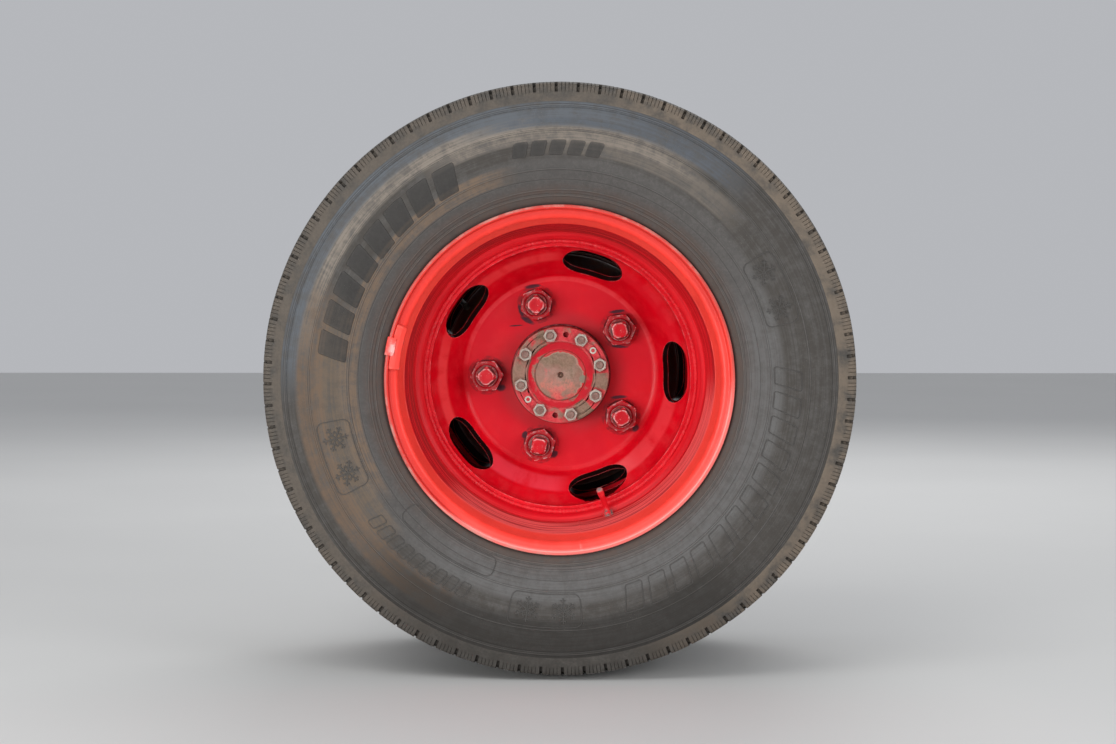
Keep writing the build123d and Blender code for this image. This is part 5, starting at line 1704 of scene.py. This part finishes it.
def flange_finish():
    """Drive flange: pinkish-red enamel worn through to olive-brown steel on the face and boss."""
    f = Finish("Worn flange")
    coarse = f.noise(34.0, 5.0, 0.65, warp=0.4)
    blotch = f.noise(19.0, 4.0, 0.6)
    fine_noise = f.noise(380.0, 5.0, 0.7)
    hoops = f.hoop_noise(4.0, 0.6, 2.0, 1.1)
    steel = f.mix(f.ramp(fine_noise, 0.3, 0.7), (0.115, 0.080, 0.052), (0.225, 0.160, 0.112))
    steel = f.mix(f.times(f.ramp(blotch, 0.35, 0.65), 0.8), steel, (0.270, 0.140, 0.112))
    red = f.mix(f.ramp(fine_noise, 0.3, 0.7), (0.42, 0.016, 0.026), (0.56, 0.062, 0.070))
    low_side = f.times(f.ramp(f.times(f.z, METRE), -14.0, -32.0), 0.14)
    boss = f.ramp(f.radius, 36.5, 35.0)
    worn_side = f.most(
        f.arc(117.0, 141.0, 9.0), f.arc(159.0, 188.0, 9.0), f.arc(-17.0, -1.0, 7.0),
        f.arc(293.0, 309.0, 7.0),
    )
    face_keep = f.plus(f.times(worn_side, -0.20), 0.13)
    keep = f.plus(coarse, f.times(low_side, boss), f.mix_value(boss, face_keep, -0.09))
    painted = f.ramp(keep, 0.45, 0.60)
    f.colour = f.mix(painted, steel, red)
    worn_low = f.arc(150.0, 296.0, 26.0)
    ragged = f.plus(
        f.radius, f.times(f.minus(coarse, 0.5), 26.0), f.times(f.arc(-48.0, 38.0, 16.0), 1.8),
        f.times(worn_low, -5.0),
    )
    edge = f.times(f.ramp(ragged, 32.6, 33.8), boss)
    f.lay((0.42, 0.26, 0.20), f.band(ragged, 31.6, 32.8, 0.8), boss, 0.45)
    f.lay((0.44, 0.008, 0.018), edge)
    orange = f.times(
        boss, f.arc(205.0, 318.0, 24.0), f.band(f.radius, 12.0, 31.0, 6.0), f.ramp(coarse, 0.44, 0.56),
    )
    f.lay((0.56, 0.120, 0.080), orange, f.ramp(fine_noise, 0.34, 0.60), 0.60)
    inner_edge = f.plus(36.8, f.times(worn_low, f.ramp(coarse, 0.35, 0.65), 5.5))
    recess = f.times(
        f.ramp(f.minus(f.radius, inner_edge), -0.8, 0.8), f.ramp(f.radius, 45.8, 45.0),
        f.ramp(f.station, -48.6, -47.6),
    )
    f.lay((0.42, 0.006, 0.016), recess, f.ramp(coarse, 0.30, 0.46))
    f.lay((0.10, 0.055, 0.04), f.ramp(hoops, 0.58, 0.70), boss, 0.35)
    bolt = f.stud_distance(FLANGE_STUD_FIRST, FLANGE_STUDS, FLANGE_CIRCLE)
    soot = f.times(f.band(bolt, 9.0, 11.5, 1.2), f.ramp(coarse, 0.3, 0.6))
    f.lay((0.085, 0.040, 0.030), soot, 0.30)
    away = [f.minus(f.times(at, METRE), middle) for at, middle in zip((f.x, f.z), OLIVE_SPOT)]
    spot_distance = f.math("SQRT", f.plus(*(f.times(a, a) for a in away)))
    spot_mark = f.times(f.ramp(spot_distance, 6.2, 4.8), f.ramp(f.station, -48.0, -49.5))
    f.lay((0.155, 0.165, 0.120), spot_mark, 0.85)
    # Painted shade: the flange's outer edge goes near black, in the gap round the flange.
    side = f.times(f.ramp(f.radius, 66.8, 67.8), f.ramp(f.station, -49.0, -47.5))
    f.lay((0.045, 0.008, 0.008), side, 0.85)
    chips = f.times(f.ramp(f.mark("ridge"), 0.15, 0.7), f.ramp(coarse, 0.40, 0.60))
    f.lay((0.42, 0.32, 0.28), chips, 0.30)
    inside = f.ramp(f.station, -34.0, -30.0)
    oily = f.mix(f.ramp(coarse, 0.3, 0.7), (0.080, 0.070, 0.060), (0.140, 0.125, 0.108))
    f.lay(oily, inside)
    metal = f.most(f.times(f.minus(1.0, painted), 0.35), f.times(inside, 0.8))
    rough = f.ramp(coarse, 0.3, 0.7, 0.42, 0.66)
    return f.finish(
        rough, (coarse, 0.5, 0.8), (fine_noise, 0.35, 0.2), (hoops, 0.15, 0.2), metal=metal, shine=0.15,
    )


# Metals and rubber: bright tone, dark tone and stain, how metallic and how rough, how stained, and
# the stains' waves per metre
METALS = {
    "Ground steel": ((0.62, 0.61, 0.59), (0.40, 0.39, 0.37), (0.14, 0.10, 0.07), 0.95, 0.25, 0.3, 40.0),
    "Blackened steel": (
        (0.075, 0.072, 0.070), (0.035, 0.033, 0.032), (0.12, 0.06, 0.035), 0.6, 0.42, 0.4, 40.0,
    ),
    "Seal rubber": (
        (0.040, 0.038, 0.036), (0.020, 0.019, 0.018), (0.09, 0.075, 0.06), 0.0, 0.6, 0.4, 40.0,
    ),
    "Cast iron": (
        (0.150, 0.118, 0.098), (0.085, 0.066, 0.056), (0.210, 0.085, 0.040), 0.45, 0.62, 0.75, 30.0,
    ),
    "Plated steel": ((0.40, 0.39, 0.34), (0.24, 0.21, 0.175), (0.20, 0.10, 0.080), 0.3, 0.5, 0.6, 90.0),
    "Stud tips": (
        (0.260, 0.165, 0.135), (0.140, 0.090, 0.072), (0.115, 0.048, 0.036), 0.25, 0.55, 0.5, 90.0,
    ),
    # Brass is made near black as painted shade: the inner valve sits in the shade of the hand holes.
    "Brass": ((0.070, 0.050, 0.028), (0.034, 0.026, 0.017), (0.022, 0.015, 0.011), 0.2, 0.7, 0.8, 90.0),
    "Forged steel": (
        (0.36, 0.34, 0.32), (0.21, 0.195, 0.18), (0.16, 0.085, 0.05), 0.75, 0.42, 0.6, 26.0,
    ),
}


def metal_finish(name):
    """Bare or thinly coated metal: two tones mottled, stains by coarse noise, painted shade in the
    creases, worn pale edges.
    """
    bright, dark, stain, metal, rough, stained, scale = METALS[name]
    f = Finish(name)
    coarse = f.noise(scale, 5.0, 0.65)
    fine_noise = f.noise(scale * 9, 5.0, 0.7)
    hoops = f.hoop_noise(4.0, 0.6, 1.5, 0.8, 0.6)
    f.colour = f.mix(f.ramp(fine_noise, 0.3, 0.7), dark, bright)
    f.lay(dark, f.ramp(hoops, 0.45, 0.7), 0.35)
    spread = f.times(f.ramp(coarse, 0.62 - 0.3 * stained, 0.80 - 0.3 * stained), stained)
    f.lay(stain, spread)
    # Painted shade in the creases, in a dark copy of the stain.
    f.lay(tuple(0.4 * c for c in stain), f.ramp(f.mark("crease"), 0.05, 0.4), 0.7)
    f.lay(tuple(min(1.0, 1.5 * c + 0.03) for c in bright), f.ramp(f.mark("ridge"), 0.2, 0.9, end=0.5))
    loss = f.minus(metal, f.times(spread, metal * 0.8))
    roughness = f.plus(rough, f.times(spread, 0.3))
    return f.finish(roughness, (coarse, 0.4, 0.6), (fine_noise, 0.3, 0.15), metal=loss)


def painted_finish(name, base, bare, paint, split=None):
    """Painted small part: enamel, chips to bare metal at its edges, painted shade in a dark grime tone
    in its corners.

    split is an optional (socket maker, second colour) for an end left in another colour.
    """
    f = Finish(name)
    coarse = f.noise(48.0, 5.0, 0.65)
    fine_noise = f.noise(380.0, 5.0, 0.7)
    enamel(f, base, paint, coarse, fine_noise)
    if split is not None:
        where, second = split
        broken = f.mix(f.ramp(fine_noise, 0.35, 0.65), tuple(0.6 * c for c in second), second)
        f.lay(broken, where(f))
    chips = f.times(f.ramp(f.mark("ridge"), 0.15, 0.7), f.ramp(f.noise(90.0, 4.0, 0.6), 0.42, 0.62))
    f.lay(bare, chips, 0.5)
    # Painted shade in the corners, in a dark grime tone.
    f.lay(tuple(0.5 * c for c in paint.grime), f.ramp(f.mark("crease"), 0.06, 0.4), 0.7)
    rough = f.ramp(coarse, 0.3, 0.7, 0.34, 0.62)
    return f.finish(rough, (coarse, 0.4, 0.5), (fine_noise, 0.3, 0.12), shine=0.3)


def floor_finish(stage):
    """Pale floor: faint clouds in its tone and a fine grain."""
    f = Finish("Floor")
    clouds = f.noise(1.3, 3.0, 0.5)
    grain = f.noise(900.0, 3.0, 0.6)
    f.colour = f.mix(f.ramp(clouds, 0.3, 0.7), tuple(0.97 * c for c in stage.floor), stage.floor)
    return f.finish(f.ramp(clouds, 0.3, 0.7, 0.72, 0.82), (grain, 0.1, 0.1), shine=0.25)


# ------------------------ operators
class DressOperator(bpy.types.Operator):
    """Common part of every step."""

    bl_options = {"REGISTER", "UNDO"}

    def execute(self, context):
        scene = context.scene
        self.dress(scene.tyre_settings, scene.paint_settings, scene.stage_settings)
        return {"FINISHED"}


def metal_named(name):
    """A metal or rubber by its name, made when it is first asked for."""
    return bpy.data.materials.get(name) or metal_finish(name)


def cad_nodes(metal, *names):
    """Gives CAD nodes that stay in view their metal or rubber."""
    material = metal_named(metal)
    for name in names:
        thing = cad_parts[name]
        if not thing.material_slots:
            thing.data.materials.append(material)
        for material_slot in thing.material_slots:
            material_slot.material = material


def dress_tyre(side, turned, tyre, wall, tread_rubber, marks):
    """Casing, tread, flakes and bars of one tyre, each turned to its side."""
    piece(f"{side}_casing", turned([casing()]), wall, "tyre", f"{side}_tyre")
    piece(f"{side}_tread", turned([tread(tyre)]), tread_rubber, "tyre", sharp=30)
    piece(f"{side}_flakes", turned(sidewall_flakes(tyre)), marks, "tyre")
    piece(f"{side}_bars", turned(sidewall_bars(tyre)), marks, "tyre")


class WHEEL_OT_outer_tyre(DressOperator):
    """Outer tyre: casing, tread, flakes and bars."""

    bl_idname = "wheel.outer_tyre"
    bl_label = "Outer tyre"

    def dress(self, tyre, paint, stage):
        wall = sidewall_finish(tyre, False)
        dress_tyre("outer", list, tyre, wall, tread_finish(tyre), sidewall_finish(tyre, True))


class WHEEL_OT_inner_tyre(DressOperator):
    """Inner tyre: the same tyre turned round, with its marks facing inboard."""

    bl_idname = "wheel.inner_tyre"
    bl_label = "Inner tyre"

    def dress(self, tyre, paint, stage):
        names = ("Sidewall rubber", "Tread rubber", "Sidewall marks")
        dress_tyre("inner", mirrored, tyre, *(bpy.data.materials[name] for name in names))


class WHEEL_OT_rims(DressOperator):
    """Both rims with their butt welds."""

    bl_idname = "wheel.rims"
    bl_label = "Rims"

    def dress(self, tyre, paint, stage):
        enamel_red = rim_finish(paint)
        for side, turned in SIDES:
            shells = turned(rim_shells() + butt_weld())
            piece(f"{side}_rim_sheet", shells, enamel_red, "wheel_paint", f"{side}_rim")


class WHEEL_OT_discs(DressOperator):
    """Both pressed discs and the welds that hold them in the rims."""

    bl_idname = "wheel.discs"
    bl_label = "Discs"

    def dress(self, tyre, paint, stage):
        red = disc_finish(paint)
        weld = weld_finish(paint)
        for side, turned in SIDES:
            piece(
                f"{side}_dish", turned(dish_shells(side == "outer")), red, "disc_paint",
                f"{side}_disc", bevel=1.2, patches=True,
            )
        for side, turned in SIDES:
            piece(f"{side}_weld", turned(weld_bead()), weld, "disc_paint")


class WHEEL_OT_hub(DressOperator):
    """Hub, with its bearings, seal and wheel studs."""

    bl_idname = "wheel.hub"
    bl_label = "Hub"

    def dress(self, tyre, paint, stage):
        red = painted_finish("Hub enamel", (0.42, 0.012, 0.016), paint.bare, paint)
        piece("hub_body", hub_shells(), red, "hub_paint", "hub")
        cad_nodes("Ground steel", "outer_bearing", "inner_bearing")
        cad_nodes("Blackened steel", "wheel_studs")
        cad_nodes("Seal rubber", "oil_seal")


class WHEEL_OT_drum(DressOperator):
    """Cast brake drum."""

    bl_idname = "wheel.drum"
    bl_label = "Brake drum"

    def dress(self, tyre, paint, stage):
        piece("drum_body", drum_shells(), metal_named("Cast iron"), "cast_iron", "brake_drum")


class WHEEL_OT_drive_shaft(DressOperator):
    """Drive shaft: flange, boss, shaft and splines."""

    bl_idname = "wheel.drive_shaft"
    bl_label = "Drive shaft"

    def dress(self, tyre, paint, stage):
        piece(
            "shaft_body", shaft_shells(), flange_finish(), "worn_flange", "axle_shaft",
            patches=True,
        )


class WHEEL_OT_wheel_nuts(DressOperator):
    """Outer nuts and the square-ended cap nuts inside them."""

    bl_idname = "wheel.wheel_nuts"
    bl_label = "Wheel nuts"

    def dress(self, tyre, paint, stage):
        outer = nut_finish(paint, "Outer nut enamel", (0.48, 0.005, 0.014), (0.66, 0.36, 0.36), 0.05)
        cap = nut_finish(paint, "Cap nut enamel", (0.50, 0.001, 0.010), (0.84, 0.56, 0.55), 0.09)
        piece("outer_nut_bodies", wheel_nut_shells(), outer, "nut_paint", "outer_nuts")
        piece("cap_nut_bodies", cap_nut_shells(), cap, "nut_paint", "cap_nuts")


class WHEEL_OT_flange_nuts(DressOperator):
    """Drive flange's nuts, stud tips and dowels."""

    bl_idname = "wheel.flange_nuts"
    bl_label = "Flange nuts"

    def dress(self, tyre, paint, stage):
        plated, tips = metal_named("Plated steel"), metal_named("Stud tips")
        piece("flange_nut_bodies", flange_nut_shells(), plated, "plated_steel", "flange_nuts")
        piece("flange_stud_bodies", flange_stud_shells(), tips, "black_steel", "flange_studs")
        piece("dowel_bodies", dowel_shells(), plated, "plated_steel", "flange_dowels")


class WHEEL_OT_valves(DressOperator):
    """Outer and inner valves."""

    bl_idname = "wheel.valves"
    bl_label = "Valves"

    def dress(self, tyre, paint, stage):
        def tip(f):
            return f.most(
                f.ramp(f.radius, 166.0, 163.5),
                f.times(f.ramp(f.radius, 188.0, 196.0), f.ramp(f.noise(120.0), 0.45, 0.6)),
            )

        red = painted_finish(
            "Valve enamel", (0.70, 0.006, 0.016), (0.74, 0.090, 0.085), paint,
            (tip, (0.21, 0.20, 0.19)),
        )
        brass = metal_named("Brass")
        piece("outer_valve_stem", outer_valve_shells(), red, "valve_paint", "outer_valve")
        piece("inner_valve_stem", inner_valve_shells(), brass, "brass", "inner_valve")


class WHEEL_OT_balance_weight(DressOperator):
    """Balance weight and its spring clip."""

    bl_idname = "wheel.balance_weight"
    bl_label = "Balance weight"

    def dress(self, tyre, paint, stage):
        red = painted_finish("Weight enamel", (0.84, 0.046, 0.030), (0.62, 0.22, 0.19), paint)
        clip = painted_finish("Clip enamel", (0.84, 0.060, 0.045), (0.78, 0.66, 0.64), paint)
        piece("weight_body", weight_shells(), red, "wheel_paint", "balance_weight")
        piece("clip_body", clip_shells(), clip, "wheel_paint", "weight_clip")


class WHEEL_OT_spindle(DressOperator):
    """Spindle and its lock nut."""

    bl_idname = "wheel.spindle"
    bl_label = "Spindle"

    def dress(self, tyre, paint, stage):
        piece(
            "spindle_body", spindle_shells(), metal_named("Forged steel"), "ground_steel", "spindle",
            body=FIXED_SIDE, patches=True,
        )
        cad_nodes("Blackened steel", "lock_nut")


class WHEEL_OT_backing_plate(DressOperator):
    """Backing plate with its plugs, bolts, union and bleed screw."""

    bl_idname = "wheel.backing_plate"
    bl_label = "Backing plate"

    def dress(self, tyre, paint, stage):
        black = painted_finish("Chassis paint", tuple(paint.chassis), (0.20, 0.12, 0.08), paint)
        piece("plate_body", plate_shells(), black, "black_steel", "backing_plate", body=FIXED_SIDE)
        cad_nodes("Seal rubber", "inspection_plugs")
        cad_nodes("Plated steel", "cylinder_bolts")
        cad_nodes("Brass", "pipe_union", "bleed_screw")


# Lamps: name, place and size in metres, power in watts, colour
LAMPS = (
    ("key light", (-1.9, -3.2, 3.3), (2.8, 2.8), 58.0, (1.0, 0.985, 0.96)),
    ("fill light", (2.5, -3.3, 0.9), (1.8, 1.8), 58.0, (0.98, 0.99, 1.0)),
    ("low light", (-1.4, -3.3, 0.04), (1.8, 0.7), 62.0, (1.0, 0.99, 0.97)),
    ("back light", (0.6, 3.2, 2.6), (2.6, 2.2), 60.0, (1.0, 1.0, 1.0)),
)
LAMP_AIM = (0.0, -0.25, 0.0)
SKY = (0.93, 0.95, 1.0, 1.0)
SKY_STRENGTH = 0.50
FLOOR_REACH = 9.0
FLOOR_LINES = 37
FLOOR_GAP = 0.0004
# Where the camera looks in the plane of the rim's lip: to the right of the axle and above it, in m
CAMERA_AIM = (-0.0019, 0.0113)


def aim(thing, at):
    """Turns a lamp or the camera to a point and puts it in the scene."""
    thing.rotation_euler = (Vector(at) - thing.location).to_track_quat("-Z", "Y").to_euler()
    bpy.context.scene.collection.objects.link(thing)


class WHEEL_OT_stage(DressOperator):
    """Pale floor, soft light and the photograph's camera."""

    bl_idname = "wheel.stage"
    bl_label = "Stage"

    def dress(self, tyre, paint, stage):
        scene = bpy.context.scene
        mesh = bpy.data.meshes.new("floor")
        span = np.linspace(-FLOOR_REACH, FLOOR_REACH, FLOOR_LINES)
        x, y = np.meshgrid(span, span)
        grid = np.stack([x, y, np.full_like(x, -TYRE_RADIUS / METRE - FLOOR_GAP)], -1)
        faces = quads(FLOOR_LINES, FLOOR_LINES, wrap_columns=False)[:, ::-1]
        set_mesh(mesh, [(grid.reshape(-1, 3), [faces])])
        floor = bpy.data.objects.new("floor", mesh)
        scene.collection.objects.link(floor)
        mesh.materials.append(floor_finish(stage))
        things = [floor]
        for name, stands_at, size, power, tint in LAMPS:
            data = bpy.data.lights.new(name, "AREA")
            data.shape = "RECTANGLE"
            data.size, data.size_y = size
            data.energy = power
            data.color = tint
            light = bpy.data.objects.new(name, data)
            light.location = stands_at
            aim(light, LAMP_AIM)
            things.append(light)
        world = bpy.data.worlds.new("Studio")
        scene.world = world
        world.use_nodes = True
        sky = world.node_tree.nodes["Background"].inputs
        sky["Color"].default_value = SKY
        sky["Strength"].default_value = SKY_STRENGTH
        lens = bpy.data.cameras.new("camera")
        lens.lens = stage.lens
        lens.sensor_width = 36.0
        camera = bpy.data.objects.new("camera", lens)
        lip = (RIM_PATH[0][1] - DISC_PLANE) / METRE
        camera.location = (stage.side / METRE, lip - stage.distance / METRE, stage.rise / METRE)
        aim(camera, (CAMERA_AIM[0], lip, CAMERA_AIM[1]))
        scene.camera = camera
        things.append(camera)
        scene.view_settings.view_transform = "Standard"
        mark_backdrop(*things)


OPERATORS = (
    WHEEL_OT_outer_tyre, WHEEL_OT_inner_tyre, WHEEL_OT_rims, WHEEL_OT_discs, WHEEL_OT_hub,
    WHEEL_OT_drum, WHEEL_OT_drive_shaft, WHEEL_OT_wheel_nuts, WHEEL_OT_flange_nuts, WHEEL_OT_valves,
    WHEEL_OT_balance_weight, WHEEL_OT_spindle, WHEEL_OT_backing_plate, WHEEL_OT_stage,
)


class WHEEL_PT_panel(bpy.types.Panel):
    """Sidebar panel with every step."""

    bl_idname = "WHEEL_PT_panel"
    bl_label = "Twin wheel end"
    bl_space_type = "VIEW_3D"
    bl_region_type = "UI"
    bl_category = "Wheel"

    def draw(self, context):
        for operator in OPERATORS:
            self.layout.operator(operator.bl_idname)


CLASSES = (TyreSettings, PaintSettings, StageSettings, *OPERATORS, WHEEL_PT_panel)


def register():
    """Registers the classes and the scene's settings."""
    for kind in CLASSES:
        bpy.utils.register_class(kind)
    bpy.types.Scene.tyre_settings = PointerProperty(type=TyreSettings)
    bpy.types.Scene.paint_settings = PointerProperty(type=PaintSettings)
    bpy.types.Scene.stage_settings = PointerProperty(type=StageSettings)


def unregister():
    """Takes the settings and classes away again."""
    for name in ("tyre_settings", "paint_settings", "stage_settings"):
        delattr(bpy.types.Scene, name)
    for kind in reversed(CLASSES):
        bpy.utils.unregister_class(kind)


def corners(bounds):
    """Bounds as plain lists of numbers."""
    return [[float(value) for value in corner] for corner in bounds]


def main():
    """Registers the add-on, runs every step and takes the model's bounds before and after."""
    register()
    before = corners(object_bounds())
    for operator in OPERATORS:
        group, step = operator.bl_idname.split(".")
        getattr(getattr(bpy.ops, group), step)()
    after = corners(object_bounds())


if __name__ == "__main__":
    main()
